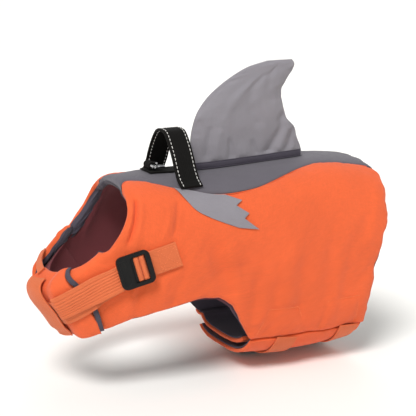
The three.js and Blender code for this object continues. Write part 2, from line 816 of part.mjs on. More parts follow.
// Place on the form with a given X and Y, on the back
function onBack(x, y) {
  let u = spineU(x);
  let v = 0;
  for (let i = 0; i < 12; i++) {
    const p = form(u, v);
    const { along, across } = tangents(u, v);
    const det = along.x * across.y - along.y * across.x;
    u += ((x - p.x) * across.y - (y - p.y) * across.x) / det;
    v += ((y - p.y) * along.x - (x - p.x) * along.y) / det;
  }
  return [u, v];
}
const backHeight = (x, y) => {
  let [u, v] = onBack(x, y);
  const aim = new THREE.Vector2(x, y);
  for (let i = 0; i < 6; i++) {
    const p = place(u, v, skin(u, v));
    aim.x += x - p.x;
    aim.y += y - p.y;
    [u, v] = onBack(aim.x, aim.y);
  }
  return place(u, v, skin(u, v)).z;
};

// Stuffed fin: two halves sewn along their outline, standing on the back
function finHalf(side) {
  const last = finRows.length - 1;
  const table = finRows.map((r, i) => ({ ...r, row: i }));
  const rowsOf = spread(last * 2, 0, last);
  const point = (row, t, y) => {
    const x = mix(smooth(table, "row", "front", row), smooth(table, "row", "rear", row), t);
    const lift = Math.max(0, 1 - row / 2);
    const z = mix(smooth(table, "row", "z", row), spineTop(x) + FIN_LIFT, lift);
    return new THREE.Vector3(x, side * y, z);
  };
  const fullness = (row, t) => {
    const half = smooth(table, "row", "half", row);
    return 0.5 + half * Math.pow(1 - Math.pow(Math.abs(2 * t - 1), 2.4), 0.7);
  };
  const columns = spread(10);
  return between(
    rowsOf.map((row) => columns.map((t) => point(row, t, GAP / 2 + fullness(row, t)))),
    rowsOf.map((row) => columns.map((t) => point(row, t, GAP / 2))),
  );
}
jacket.add(mesh("fin_left", COLOURS.finGrey, finHalf(-1)), mesh("fin_right", COLOURS.finGrey, finHalf(1)));

// Flat band round the foot of the fin
function finBand(side) {
  const xs = spread(14, FIN_BAND.from, FIN_BAND.to);
  const y = (x, thick) => {
    const t = (x - FIN_BAND.from) / (FIN_BAND.to - FIN_BAND.from);
    const half = finRows[1].half * Math.pow(1 - Math.pow(Math.abs(2 * t - 1), 2.4), 0.7);
    return side * (0.5 + half + GAP + FIN_BAND.clear + thick);
  };
  const face = (thick) =>
    xs.map((x) => {
      const foot = backHeight(x, y(x, FIN_BAND.thick)) + FIN_LIFT;
      return [0, FIN_BAND.height].map((z) => new THREE.Vector3(x, y(x, thick), foot + z));
    });
  return between(face(FIN_BAND.thick), face(0));
}
jacket.add(
  mesh("fin_band_left", COLOURS.bandGrey, finBand(-1)),
  mesh("fin_band_right", COLOURS.bandGrey, finBand(1)),
);

// Grab handle: an arch of double webbing across the back, its feet sewn at the side seams
const handleFeet = [HANDLE.foot, HANDLE.foot - 4, HANDLE.foot - 8].map((y) => ({
  y,
  z: Math.max(...[-1, 0, 1].map((k) => backHeight(HANDLE.x + (k * WEB_WIDTH) / 2, y))) + HANDLE.lift,
}));
const handleHalf = [...handleFeet, ...handleArch];
const handleLine = [
  ...handleHalf.map((p) => [-p.y, p.z]),
  ...handleHalf
    .slice()
    .reverse()
    .map((p) => [p.y, p.z]),
];
function handleGrid(lift) {
  return handleLine.map(([y, z], i) => {
    const [y0, z0] = handleLine[Math.max(0, i - 1)];
    const [y1, z1] = handleLine[Math.min(handleLine.length - 1, i + 1)];
    const n = new THREE.Vector2(-(z1 - z0), y1 - y0).normalize();
    return spread(2, -WEB_WIDTH / 2, WEB_WIDTH / 2).map(
      (x) => new THREE.Vector3(HANDLE.x + x, y + n.x * lift, z + n.y * lift),
    );
  });
}
jacket.add(mesh("handle", COLOURS.black, between(handleGrid(HANDLE.thick), handleGrid(0))));

// Webbing base on the back and, sewn to it, the keeper rolled round the ring's straight bar
const baseXs = spread(5, KEEPER.from, KEEPER.to);
const baseYs = spread(4, -KEEPER.width / 2, KEEPER.width / 2);
const baseGrid = (lift) =>
  baseXs.map((x) =>
    baseYs.map((y) => {
      const [u, v] = onBack(x, y);
      return place(u, v, skin(u, v) + LAYER + lift);
    }),
  );
jacket.add(mesh("ring_base", COLOURS.black, between(baseGrid(KEEPER.thick), baseGrid(0))));
const barZ = spineTop(RING.x) + LAYER + KEEPER.thick + GAP + KEEPER.roll;
const rollShape = new THREE.Shape();
rollShape.absarc(0, 0, KEEPER.roll, 0, Math.PI * 2, false);
const bore = new THREE.Path();
bore.absarc(0, 0, RING.wire + RING.play, 0, Math.PI * 2, true);
rollShape.holes.push(bore);
const roll = plate(rollShape, KEEPER.rollWidth, 12);
roll.rotateX(Math.PI / 2);
roll.translate(RING.x, KEEPER.rollWidth / 2, barZ);
jacket.add(mesh("ring_keeper", COLOURS.black, roll));

// Leash ring: a D of round wire, its straight bar in the keeper, lying back on the base
function ringPath() {
  const half = RING.inside / 2 + RING.wire;
  const points = [];
  const corner = RING.wire * 1.6;
  for (const a of spread(4, Math.PI, Math.PI * 1.5)) {
    points.push([corner + corner * Math.cos(a), -half + corner + corner * Math.sin(a)]);
  }
  const bend = RING.depth - half;
  for (const a of spread(12, -Math.PI / 2, Math.PI / 2)) {
    points.push([bend + half * Math.cos(a), half * Math.sin(a)]);
  }
  for (const a of spread(4, Math.PI / 2, Math.PI)) {
    points.push([corner + corner * Math.cos(a), half - corner + corner * Math.sin(a)]);
  }
  return points;
}
function closedTube(points, radius, sides) {
  const count = points.length;
  const vertices = [];
  const faces = [];
  for (let i = 0; i < count; i++) {
    const [x0, y0] = points[(i + count - 1) % count];
    const [x1, y1] = points[(i + 1) % count];
    const [x, y] = points[i];
    const n = new THREE.Vector2(y1 - y0, x0 - x1).normalize();
    for (let k = 0; k < sides; k++) {
      const a = (k / sides) * Math.PI * 2;
      const r = radius * Math.cos(a);
      vertices.push(x + n.x * r, y + n.y * r, radius * Math.sin(a));
    }
  }
  for (let i = 0; i < count; i++) {
    const j = (i + 1) % count;
    for (let k = 0; k < sides; k++) {
      const l = (k + 1) % sides;
      faces.push(i * sides + k, j * sides + k, j * sides + l);
      faces.push(i * sides + k, j * sides + l, i * sides + l);
    }
  }
  const geometry = new THREE.BufferGeometry();
  geometry.setAttribute("position", new THREE.Float32BufferAttribute(vertices, 3));
  geometry.setIndex(faces);
  geometry.computeVertexNormals();
  return geometry;
}
const ring = closedTube(ringPath(), RING.wire, 12);
ring.rotateY(RING.tilt);
ring.translate(RING.x, 0, barZ);
jacket.add(mesh("leash_ring", COLOURS.steel, ring, { roughness: 0.25, metalness: 1 }));

// Belly flaps: the outer one from the near hem, the inner one from the far hem, one over the other
const hemAt = (u) => straight(legEdge, "u", "v", u);
const bellyRows = spread(6, 0.693, 0.996);
function outerBelly(s, t) {
  return [s, -mix(hemAt(s) + 2 * SEAM_V, BELLY.outerEnd, t)];
}
function innerBelly(s, t) {
  return [s, -mix(2 - hemAt(s) - 2 * SEAM_V, BELLY.innerEnd, t)];
}
const innerDip = (v) => BELLY.dip * ramp((2 - 0.735 - Math.abs(v)) / 0.05);
jacket.add(
  mesh(
    "belly_flap_outer",
    COLOURS.orange,
    wall(bellyRows, spread(14), outerBelly, () => BELLY.out, () => BELLY.out - BELLY.thick),
  ),
  mesh(
    "lining_belly_outer",
    COLOURS.lining,
    wall(
      spread(3, 0.696, 0.993),
      spread(14, 0.01, 0.985),
      outerBelly,
      () => BELLY.out - BELLY.thick - GAP,
      () => BELLY.out - BELLY.thick - GAP - LINING,
    ),
  ),
  mesh(
    "belly_flap_inner",
    COLOURS.orange,
    wall(
      bellyRows,
      spread(14),
      innerBelly,
      (u, v) => BELLY.out - innerDip(v),
      (u, v) => BELLY.out - BELLY.thick - innerDip(v),
    ),
  ),
  mesh(
    "lining_belly_inner",
    COLOURS.lining,
    wall(
      spread(3, 0.696, 0.993),
      spread(12, 0.14, 0.985),
      innerBelly,
      (u, v) => BELLY.out - BELLY.thick - GAP - innerDip(v),
      (u, v) => BELLY.out - BELLY.thick - GAP - LINING - innerDip(v),
    ),
  ),
);

// Belly straps with their side-release buckles
function bellyBuckle(name, u) {
  const seat = seatOn(u, -BUCKLE.at, BELLY.out + LAYER, u, -BUCKLE.at - 0.02);
  const socketShape = roundedRect(BUCKLE.socket, BUCKLE.width, 4);
  const socket = plate(socketShape, BUCKLE.thick);
  socket.translate(-BUCKLE.socket / 2 - GAP / 2, 0, 0);
  const plug = plate(roundedRect(BUCKLE.plug, BUCKLE.width - 5, 4), BUCKLE.thick - 1.5);
  plug.translate(BUCKLE.plug / 2 + GAP / 2, 0, 0.7);
  for (const g of [socket, plug]) g.applyMatrix4(seat);
  return [
    mesh(`buckle_socket_${name}`, COLOURS.black, socket, { roughness: 0.45 }),
    mesh(`buckle_plug_${name}`, COLOURS.black, plug, { roughness: 0.45 }),
  ];
}
function bellyStrap(u, from, to) {
  const line = spread(6, from, to).map((at) => ({ u, v: -at }));
  return strip(line, WEB_WIDTH, 12, 1, () => BELLY.out + LAYER + WEB_THICK, () => BELLY.out + LAYER);
}
for (const [name, u] of [
  ["front", BELLY.frontStrap],
  ["rear", BELLY.rearStrap],
]) {
  jacket.add(
    mesh(`belly_strap_${name}_near`, COLOURS.webbing, bellyStrap(u, 0.745, BUCKLE.nearEnd)),
    mesh(`belly_strap_${name}_far`, COLOURS.webbing, bellyStrap(u, BUCKLE.farEnd, 1.255)),
    ...bellyBuckle(name, u),
  );
}

export default jacket;
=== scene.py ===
"""Dog life jacket: the looks of the cloth, webbing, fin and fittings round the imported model."""

import math

import bmesh
import bpy
import numpy as np
from mathutils import Matrix, Vector


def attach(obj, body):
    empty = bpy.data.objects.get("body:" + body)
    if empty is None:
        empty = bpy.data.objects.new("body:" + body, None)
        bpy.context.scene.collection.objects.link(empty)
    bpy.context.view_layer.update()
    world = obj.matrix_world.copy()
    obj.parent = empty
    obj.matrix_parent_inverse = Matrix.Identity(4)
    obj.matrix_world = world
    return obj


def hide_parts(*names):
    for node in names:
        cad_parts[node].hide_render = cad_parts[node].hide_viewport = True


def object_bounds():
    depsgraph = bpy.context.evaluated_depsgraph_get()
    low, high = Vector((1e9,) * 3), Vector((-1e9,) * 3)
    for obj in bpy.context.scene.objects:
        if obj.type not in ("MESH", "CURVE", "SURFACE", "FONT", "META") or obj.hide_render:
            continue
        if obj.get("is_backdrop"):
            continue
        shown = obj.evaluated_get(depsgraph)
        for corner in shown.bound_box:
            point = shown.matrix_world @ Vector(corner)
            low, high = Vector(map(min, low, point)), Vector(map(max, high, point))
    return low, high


bl_info = {
    "name": "Dog life jacket",
    "version": (1, 0, 0),
    "blender": (4, 5, 0),
    "location": "View3D > Sidebar > Jacket",
    "description": "Builds the visible cloth, webbing and fittings of a dog life jacket",
    "category": "Object",
}

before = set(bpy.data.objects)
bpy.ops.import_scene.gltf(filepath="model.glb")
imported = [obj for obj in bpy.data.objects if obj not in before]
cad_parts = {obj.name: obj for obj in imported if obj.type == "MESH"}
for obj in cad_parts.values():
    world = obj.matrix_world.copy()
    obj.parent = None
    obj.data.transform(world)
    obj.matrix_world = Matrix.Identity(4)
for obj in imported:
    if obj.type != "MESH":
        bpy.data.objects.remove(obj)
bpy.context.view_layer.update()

MM = 0.001

# Cloth, foam and webbing, in millimetres
FOAM_OUT = 3.0
FOAM_IN = 5.0
SEAM_DIP = 0.8
PUFF = 2.4
PUFF_REACH = 12.0
FAR = 60.0
GAP = 0.35
LAYER = 0.7
LINING = 1.2
WEB_WIDTH = 25.0
WEB_THICK = 1.8
STRAP_GAP = 0.8
PATCH_THICK = 1.0
U_LENGTH = 300.0
V_LENGTH = 260.0
SEAM_V = 0.0013
CHEST_U = 0.2
STITCH_SINK = 0.75
CORD_PITCH = 2.1
SHARP_ANGLE = math.radians(40)


def table(names, *rows):
    """Rows of numbers as one array for each named column."""
    return {name: np.array(column, float) for name, column in zip(names.split(), zip(*rows))}


# Cross sections of the form from the neck ring (u 0) to the rear hem (u 1)
STATIONS = table(
    "u spine_x spine_z keel_x keel_z half top keel egg bow",
    (0.0, -142, 6, -212, -79.5, 52, 2.2, 2.3, -0.06, 21),
    (0.05, -136, 7.5, -226, -96.5, 55, 2.3, 2.3, -0.04, 19),
    (0.12, -127, 7.5, -215, -118.5, 59, 2.5, 2.3, -0.02, 15),
    (0.25, -104, 7, -190, -153.5, 65, 2.8, 2.5, 0.02, 9),
    (0.4, -72, 5.5, -147, -178.5, 70, 3.0, 2.8, 0.03, 3),
    (0.55, -32, 6, -82, -185.5, 74, 3.1, 3.2, 0.03, 0),
    (0.7, 22, 8, -14, -187.5, 76, 3.2, 3.6, 0.03, 0),
    (0.85, 86, 10, 58, -191.5, 77, 3.2, 3.6, 0.03, 0),
    (1.0, 148, 5.5, 124, -185.5, 77, 2.9, 3.4, 0.03, 0),
)

# Seam between the back panel and a side panel
BACK_SEAM = table(
    "u v",
    (0.0, 0.205), (0.02, 0.15), (0.06, 0.108), (0.12, 0.1), (0.223, 0.138), (0.317, 0.175),
    (0.407, 0.198), (0.477, 0.218), (0.537, 0.227), (0.613, 0.225), (0.657, 0.217), (0.703, 0.198),
    (0.747, 0.175), (0.79, 0.15), (0.843, 0.13), (0.913, 0.138), (0.973, 0.152), (1.0, 0.17),
)
NECK_RIM = table(
    "v u",
    (0.0, 0.0), (0.14, 0.0), (0.19, -0.014), (0.25, -0.01), (0.32, 0.028), (0.42, 0.043),
    (0.54, 0.05), (0.6, 0.015), (0.66, -0.016), (0.73, 0.0), (1.0, 0.0),
)
RIM_RISE = {"v": 0.59, "width": 0.05, "height": 0.02}
REAR_RIM = table(
    "v u",
    (0.0, 1.0), (0.13, 1.0), (0.2, 1.006), (0.27, 1.016), (0.31, 1.006), (0.38, 1.016),
    (0.44, 1.006), (0.52, 0.998), (0.62, 0.996), (0.74, 1.002), (1.0, 1.0),
)
# Lower edge of a side panel: under the chest flap, round the leg hole, then the hem
LEG_EDGE = table(
    "u v",
    (0.25, 0.75), (0.287, 0.7), (0.337, 0.65), (0.39, 0.608), (0.437, 0.586), (0.48, 0.57),
    (0.51, 0.565), (0.557, 0.57), (0.58, 0.583), (0.61, 0.603), (0.637, 0.635), (0.657, 0.665),
    (0.68, 0.713), (0.69, 0.733), (0.84, 0.72), (0.93, 0.73), (1.0, 0.74),
)
UNDER_FLAP = 0.8
UNDER_FLAP_TO = 0.185
SEWN_TO = 0.36
FLAP_SEAM = 0.62
# Free edge of the chest flap on the near side, its upper rim and its foot
FLAP_EDGE = table(
    "u v",
    (0.0, 0.797), (0.013, 0.79), (0.043, 0.755), (0.067, 0.735), (0.12, 0.726), (0.173, 0.725),
    (0.203, 0.728), (0.25, 0.745),
)
FLAP_RIM = table(
    "at u",
    (0.7, 0.0), (1.05, 0.0), (1.07, 0.064), (1.185, 0.064), (1.215, 0.0), (1.27, 0.0),
    (1.34, -0.016), (1.38, -0.014), (1.42, -0.01),
)
FLAP_FOOT = table(
    "v u",
    (0.62, 0.372), (0.65, 0.337), (0.7, 0.287), (0.75, 0.248), (0.85, 0.22), (1.0, 0.206),
)

# Large soft folds, as lines on the form: side -1 is the near side
FOLDS = table(
    "side u v to_u to_v width depth",
    (-1, 0.1, 0.27, 0.12, 0.45, 6, -1.6),
    (-1, 0.13, 0.25, 0.16, 0.42, 9, 1.0),
    (-1, 0.37, 0.3, 0.35, 0.37, 7, -1.1),
    (-1, 0.49, 0.38, 0.57, 0.54, 10, -1.6),
    (-1, 0.45, 0.4, 0.5, 0.54, 12, 1.3),
    (-1, 0.68, 0.5, 0.7, 0.68, 9, -1.2),
    (-1, 0.74, 0.47, 0.755, 0.66, 10, 1.1),
    (-1, 0.81, 0.52, 0.82, 0.69, 8, -1.3),
    (-1, 0.9, 0.46, 0.9, 0.69, 9, -1.0),
    (1, 0.11, 0.28, 0.14, 0.47, 8, -1.5),
    (1, 0.4, 0.33, 0.46, 0.5, 11, -1.4),
    (1, 0.6, 0.42, 0.64, 0.58, 10, 1.3),
    (1, 0.72, 0.5, 0.73, 0.68, 9, -1.2),
    (1, 0.86, 0.48, 0.85, 0.68, 10, -1.3),
)
# Smaller creases of the outer cloth alone, uneven in length, depth and spacing
CREASES = table(
    "side u v to_u to_v width depth",
    (-1, 0.1, 0.27, 0.122, 0.44, 3.0, -1.9),
    (-1, 0.075, 0.3, 0.09, 0.4, 4.0, 0.8),
    (-1, 0.14, 0.3, 0.15, 0.4, 5.0, 0.9),
    (-1, 0.335, 0.26, 0.34, 0.37, 3.6, -1.5),
    (-1, 0.3, 0.3, 0.29, 0.4, 5.0, 0.9),
    (-1, 0.52, 0.4, 0.6, 0.55, 5.5, -1.9),
    (-1, 0.49, 0.43, 0.55, 0.555, 4.5, 1.2),
    (-1, 0.57, 0.4, 0.645, 0.59, 6, 1.4),
    (-1, 0.61, 0.47, 0.65, 0.61, 4, -1.1),
    (-1, 0.66, 0.53, 0.676, 0.69, 4.6, -1.5),
    (-1, 0.69, 0.47, 0.7, 0.66, 6, 1.1),
    (-1, 0.72, 0.55, 0.727, 0.7, 4.6, -1.2),
    (-1, 0.75, 0.42, 0.75, 0.6, 7, 1.0),
    (-1, 0.78, 0.5, 0.786, 0.62, 5.5, -1.3),
    (-1, 0.815, 0.45, 0.82, 0.68, 6, 1.0),
    (-1, 0.85, 0.43, 0.853, 0.6, 5.4, -1.2),
    (-1, 0.885, 0.5, 0.882, 0.68, 5, 1.1),
    (-1, 0.915, 0.42, 0.91, 0.6, 4.4, -1.0),
    (-1, 0.95, 0.38, 0.94, 0.6, 6, -1.3),
    (-1, 0.98, 0.3, 0.955, 0.44, 5, 1.4),
    (-1, 0.99, 0.5, 0.96, 0.56, 4, -1.2),
    (-1, 0.72, 0.24, 0.8, 0.3, 6, -0.9),
    (-1, 0.56, 0.3, 0.66, 0.36, 8, -0.9),
    (-1, 0.2, 0.5, 0.27, 0.6, 5, 1.1),
    (-1, 0.27, 0.54, 0.33, 0.66, 4.6, -1.4),
    (-1, 0.37, 0.5, 0.4, 0.6, 5.0, 1.2),
    (-1, 0.43, 0.45, 0.43, 0.575, 4.0, -1.0),
    (1, 0.115, 0.3, 0.13, 0.44, 3.6, -1.7),
    (1, 0.16, 0.27, 0.17, 0.38, 5.0, 0.9),
    (1, 0.29, 0.25, 0.31, 0.37, 4.4, -1.3),
    (1, 0.38, 0.42, 0.42, 0.57, 5.0, 1.2),
    (1, 0.47, 0.42, 0.535, 0.56, 5, -1.8),
    (1, 0.56, 0.44, 0.62, 0.58, 5.6, 1.3),
    (1, 0.645, 0.5, 0.66, 0.66, 4.4, -1.3),
    (1, 0.69, 0.5, 0.705, 0.69, 5.6, 1.3),
    (1, 0.74, 0.46, 0.745, 0.68, 5, -1.5),
    (1, 0.785, 0.52, 0.79, 0.67, 5.4, 1.1),
    (1, 0.84, 0.48, 0.83, 0.69, 5.4, -1.3),
    (1, 0.89, 0.45, 0.885, 0.64, 6, 1.0),
    (1, 0.94, 0.4, 0.935, 0.62, 5, -1.3),
    (1, 0.985, 0.33, 0.955, 0.47, 5, 1.2),
    (1, 0.68, 0.25, 0.77, 0.32, 6, -0.9),
)
REAR_WAVES = 0.004
VALLEY = {"from": 0.42, "to": 0.9, "fade": 0.08, "depth": 2.2, "width": 15.0}
# Millimetres from the middle of a strap where the cloth lies flat, and over which it is let go
STRAP_CLEAR, STRAP_FADE = 13.5, 7

# Chest flap over the near panel
FLAP_LAYER = 1.0
FLAP_THICK = 3.6
FLAP_FROM = 0.73
LIFT_FROM = 0.812
LIFT_TO = 0.875
FLAP_END = 2 - FLAP_SEAM - 0.0095
CUT_REACH = 0.45
FLAP_LINING_GAP = 2.4
BINDING_WIDTH = 5.0
BINDING_V = 0.03
BRIDGE_WIDTH = 9.5
TAUT_V = 0.16
OVER_STRAP = {"u": 0.107, "half": 0.06, "fade": 0.03}
# Neck facing: its rows, how far it runs on past the flap's seam, and its turn at the rim in millimetres
FACING = {"from": -0.003, "to": 0.078, "past_seam": 0.12, "turn": 6.0, "rise": 3.4, "below": 0.3}

# Centre lines of the webbing at the neck and chest
ANCHOR_LINE = table("u v", (0.38, -0.41), (0.33, -0.432), (0.287, -0.455), (0.245, -0.484))
BASE_LINE = table(
    "u v",
    (0.232, -0.497), (0.172, -0.573), (0.138, -0.65), (0.126, -0.728), (0.122, -0.84),
    (0.115, -0.95), (0.109, -1.06), (0.112, -1.17), (0.125, -1.27), (0.14, -1.34),
)
STRAP_LINE = table(
    "u v",
    (0.235, -0.493), (0.213, -0.51), (0.17, -0.568), (0.127, -0.645), (0.107, -0.728), (0.103, -0.83),
)
KEEPER_LINE = table(
    "u v",
    (0.028, -0.965), (0.05, -0.955), (0.075, -0.937), (0.1, -0.925), (0.15, -0.918), (0.208, -0.915),
)
BRIDGE_LINE = table("u v", (0.012, -1.003), (0.006, -1.08), (0.006, -1.16), (0.01, -1.235))

SLIDE = {
    "u": 0.208, "v": -0.511, "to_u": 0.287, "to_v": -0.455, "length": 35.0, "width": 34.0,
    "radius": 6.0, "thick": 3.6, "slot": 15.4, "slot_width": 26.0, "slot_shift": 4.6,
    "fold_shift": 5.9, "ridge": 2.9, "ridge_height": 2.6,
}

PATCH_ROWS = table(
    "row front_u front_v rear_u rear_v",
    (0, 0.322, 0.178, 0.533, 0.234),
    (1, 0.357, 0.226, 0.587, 0.262),
    (2, 0.385, 0.252, 0.567, 0.276),
    (3, 0.415, 0.276, 0.607, 0.304),
    (4, 0.465, 0.299, 0.593, 0.317),
    (5, 0.58, 0.342, 0.64, 0.354),
)

FIN_ROWS = table(
    "row z front rear half",
    (0, 10.5, -52, 84.5, 5.4),
    (1, 23.5, -51.5, 83, 5.9),
    (2, 41.5, -51, 75.5, 7),
    (3, 56.5, -48, 63.5, 7.4),
    (4, 70.5, -42, 58, 7.2),
    (5, 84.5, -30.5, 58, 6.6),
    (6, 96.5, -15, 62.5, 5.6),
    (7, 106.5, 2, 69, 4.2),
    (8, 113.5, 18, 73, 2.6),
    (9, 118.5, 40, 70, 0.8),
)
# Creases of the fin, as lines on its face: t runs from the front edge (0) to the rear (1)
FIN_CREASES = table(
    "side t z to_t to_z width depth",
    (-1, 0.985, 62, 0.68, 22, 4.6, -3.0),
    (-1, 0.96, 54, 0.78, 25, 3.6, 1.8),
    (-1, 0.99, 44, 0.84, 19, 3.0, -2.2),
    (-1, 0.97, 36, 0.9, 17, 2.4, 1.2),
    (-1, 0.36, 14, 0.34, 36, 2.6, -1.7),
    (-1, 0.41, 14, 0.42, 28, 2.4, 1.0),
    (-1, 0.58, 14, 0.55, 32, 2.8, -1.6),
    (-1, 0.2, 15, 0.24, 46, 4.0, 1.2),
    (-1, 0.12, 24, 0.16, 50, 3.0, -1.0),
    (-1, 0.66, 56, 0.5, 94, 7.0, -1.4),
    (-1, 0.3, 62, 0.42, 98, 7.0, 1.2),
    (-1, 0.86, 78, 0.6, 108, 5.0, -1.2),
    (1, 0.97, 60, 0.7, 25, 4.8, -2.8),
    (1, 0.95, 47, 0.82, 21, 3.2, 1.6),
    (1, 0.98, 38, 0.88, 17, 2.6, -1.5),
    (1, 0.42, 14, 0.44, 38, 2.8, -1.7),
    (1, 0.25, 14, 0.22, 32, 2.6, -1.4),
    (1, 0.6, 14, 0.63, 28, 2.6, -1.3),
    (1, 0.4, 58, 0.5, 96, 7.0, -1.4),
    (1, 0.7, 52, 0.62, 88, 6.0, 1.1),
)
FIN_LIFT = 0.6
FIN_WAVES = 1.8
FIN_BAND = {"from": -51.0, "to": 81.0, "height": 7.5, "thick": 1.4, "clear": 0.6}

HANDLE = {"x": -74.0, "foot": 49.0, "thick": 3.0, "lift": 2.2}
HANDLE_ARCH = ((33, 17.5), (28, 27), (20.5, 38.5), (13, 47.5), (7, 51.5))
KEEPER = {
    "from": -104.0, "to": -62.0, "width": 25.0, "thick": 1.6, "roll": 4.4, "roll_thick": 2.2,
    "roll_width": 14.0,
}
RING = {"x": -98.0, "wire": 1.75, "inside": 26.0, "depth": 27.0, "tilt": 0.1}
BELLY = {
    "out": 2.2, "thick": 4.4, "dip": 11.0, "dip_v": 0.735, "dip_fade": 0.05, "outer_end": 1.2,
    "inner_end": 0.775, "front_strap": 0.78, "rear_strap": 0.95, "strap_from": 0.724, "strap_to": 1.255,
}
BUCKLE = {
    "at": 1.1, "width": 33.0, "socket": 27.0, "plug": 22.0, "thick": 8.5, "near_end": 0.982,
    "far_end": 1.195,
}


# The form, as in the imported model, for arrays of places


def smooth(rows, key, name, x):
    """Smooth value of a column between the rows of a table."""
    k, y = rows[key], rows[name]
    x = np.asarray(x, float)
    i = np.clip(np.searchsorted(k, x, side="left") - 1, 0, len(k) - 2)
    before, after = np.maximum(np.arange(len(k)) - 1, 0), np.minimum(np.arange(len(k)) + 1, len(k) - 1)
    slope = (y[after] - y[before]) / (k[after] - k[before])
    h = k[i + 1] - k[i]
    t = (x - k[i]) / h
    t2, t3 = t * t, t * t * t
    start = (2 * t3 - 3 * t2 + 1) * y[i] + (t3 - 2 * t2 + t) * h * slope[i]
    return start + (3 * t2 - 2 * t3) * y[i + 1] + (t3 - t2) * h * slope[i + 1]


def straight(rows, key, name, x):
    """Straight value of a column between the rows of a table."""
    return np.interp(x, rows[key], rows[name])


def mix(a, b, t):
    return a + (b - a) * t


def ramp(x):
    t = np.clip(x, 0, 1)
    return t * t * (3 - 2 * t)


def round_from_spine(v):
    w = np.abs(v)
    return np.where(w > 1, 2 - w, w)


def side_of(v):
    return np.where(np.abs(v) > 1, -np.sign(v), np.sign(v))


def form(u, v):
    """Points of the fitted form in millimetres."""
    u, v = np.broadcast_arrays(np.asarray(u, float), np.asarray(v, float))
    at = {name: smooth(STATIONS, "u", name, u) for name in STATIONS if name != "u"}
    c, n = np.cos(np.pi * v), np.sin(np.pi * v)
    power = at["keel"] + (at["top"] - at["keel"]) * (0.5 + 0.5 * c)
    r = (np.abs(c) ** power + np.abs(n) ** power) ** (-1 / power)
    h = 0.5 - 0.5 * r * c
    x = mix(at["spine_x"], at["keel_x"], h) + at["bow"] * 4 * h * (1 - h)
    y = at["half"] * r * n * (1 + at["egg"] * c)
    return np.stack([x, y, mix(at["spine_z"], at["keel_z"], h)], -1)


def tangents(u, v):
    e = 0.002
    along = (form(u + e, v) - form(u - e, v)) / (2 * e)
    across = (form(u, v + e) - form(u, v - e)) / (2 * e)
    return along, across


def unit(a):
    return a / np.maximum(np.linalg.norm(a, axis=-1, keepdims=True), 1e-12)


def outward(u, v):
    along, across = tangents(u, v)
    return unit(np.cross(along, across))


def line_depth(rows, side, x, y, fields=("u", "v", "to_u", "to_v"), scale=(U_LENGTH, V_LENGTH)):
    """Depth of soft folds drawn as lines, at places x and y in the same measure."""
    depth = np.zeros(np.broadcast(x, y).shape)
    for k in range(len(rows["depth"])):
        a, b, to_a, to_b = (rows[f][k] for f in fields)
        dx, dy = (to_a - a) * scale[0], (to_b - b) * scale[1]
        px, py = (x - a) * scale[0], (y - b) * scale[1]
        length = math.hypot(dx, dy)
        t = (px * dx + py * dy) / (length * length)
        beyond = np.maximum(0, np.maximum(-t, t - 1)) * length
        off = np.abs(px * dy - py * dx) / length
        here = rows["depth"][k] * np.exp(-(off * off + beyond * beyond) / rows["width"][k] ** 2)
        depth = depth + np.where(side == rows["side"][k], here, 0)
    return depth


def fold_depth(u, v):
    return line_depth(FOLDS, side_of(v), u, round_from_spine(v))


def valley(u, v):
    along = ramp((u - VALLEY["from"]) / VALLEY["fade"]) * ramp((VALLEY["to"] - u) / VALLEY["fade"])
    return -VALLEY["depth"] * along * np.exp(-((v * V_LENGTH) ** 2) / VALLEY["width"] ** 2)


def place(u, v, offset):
    """Points at a distance from the form, with the folds in it."""
    return form(u, v) + outward(u, v) * (offset + fold_depth(u, v) + valley(u, v))[..., None]


def skin(u, v):
    """Outer face of the foam panels, which swell away from their seams."""
    to_leg = np.maximum(0, straight(LEG_EDGE, "u", "v", u) - round_from_spine(v)) * V_LENGTH
    return swollen(u, v, np.where(u < CHEST_U, FAR, to_leg))


def flap_bed(u, v):
    """Outer face of the near panel as the chest flap lies on it."""
    return swollen(u, v, FAR)


def swollen(u, v, to_foot):
    w = round_from_spine(v)
    seam = smooth(BACK_SEAM, "u", "v", np.clip(u, 0, 1))
    to_seam = np.abs(w - seam) * V_LENGTH
    to_rear = np.maximum(0, straight(REAR_RIM, "v", "u", w) - u) * U_LENGTH
    to_neck = np.maximum(0, u - straight(NECK_RIM, "v", "u", w)) * U_LENGTH

    def rise(d):
        return 1 - np.exp(-d / PUFF_REACH)

    return FOAM_OUT - SEAM_DIP + PUFF * rise(to_seam) * rise(to_foot) * rise(to_rear) * rise(to_neck)


def foam_back(u, v):
    return -FOAM_IN + 0 * u


def neck_rim(v):
    """Upper rim, a little higher at the flap's seam on the far side."""
    w = round_from_spine(v)
    rise = RIM_RISE["height"] * np.exp(-(((w - RIM_RISE["v"]) / RIM_RISE["width"]) ** 2))
    return straight(NECK_RIM, "v", "u", w) - np.where(v > 0, rise, 0)


def along_jacket(s, v):
    rear = straight(REAR_RIM, "v", "u", round_from_spine(v)) + REAR_WAVES * drift(np.abs(v) * 24, 871)
    return mix(neck_rim(v), rear, s), v


def seam_at(s):
    return smooth(BACK_SEAM, "u", "v", s)


def back_spot(s, t):
    return along_jacket(s, (2 * t - 1) * (seam_at(s) - seam_gap(s)))


def seam_gap(s):
    slope = (seam_at(np.minimum(1, s + 0.01)) - seam_at(np.maximum(0, s - 0.01))) / 0.02
    return SEAM_V * np.hypot(1, slope * 1.6)


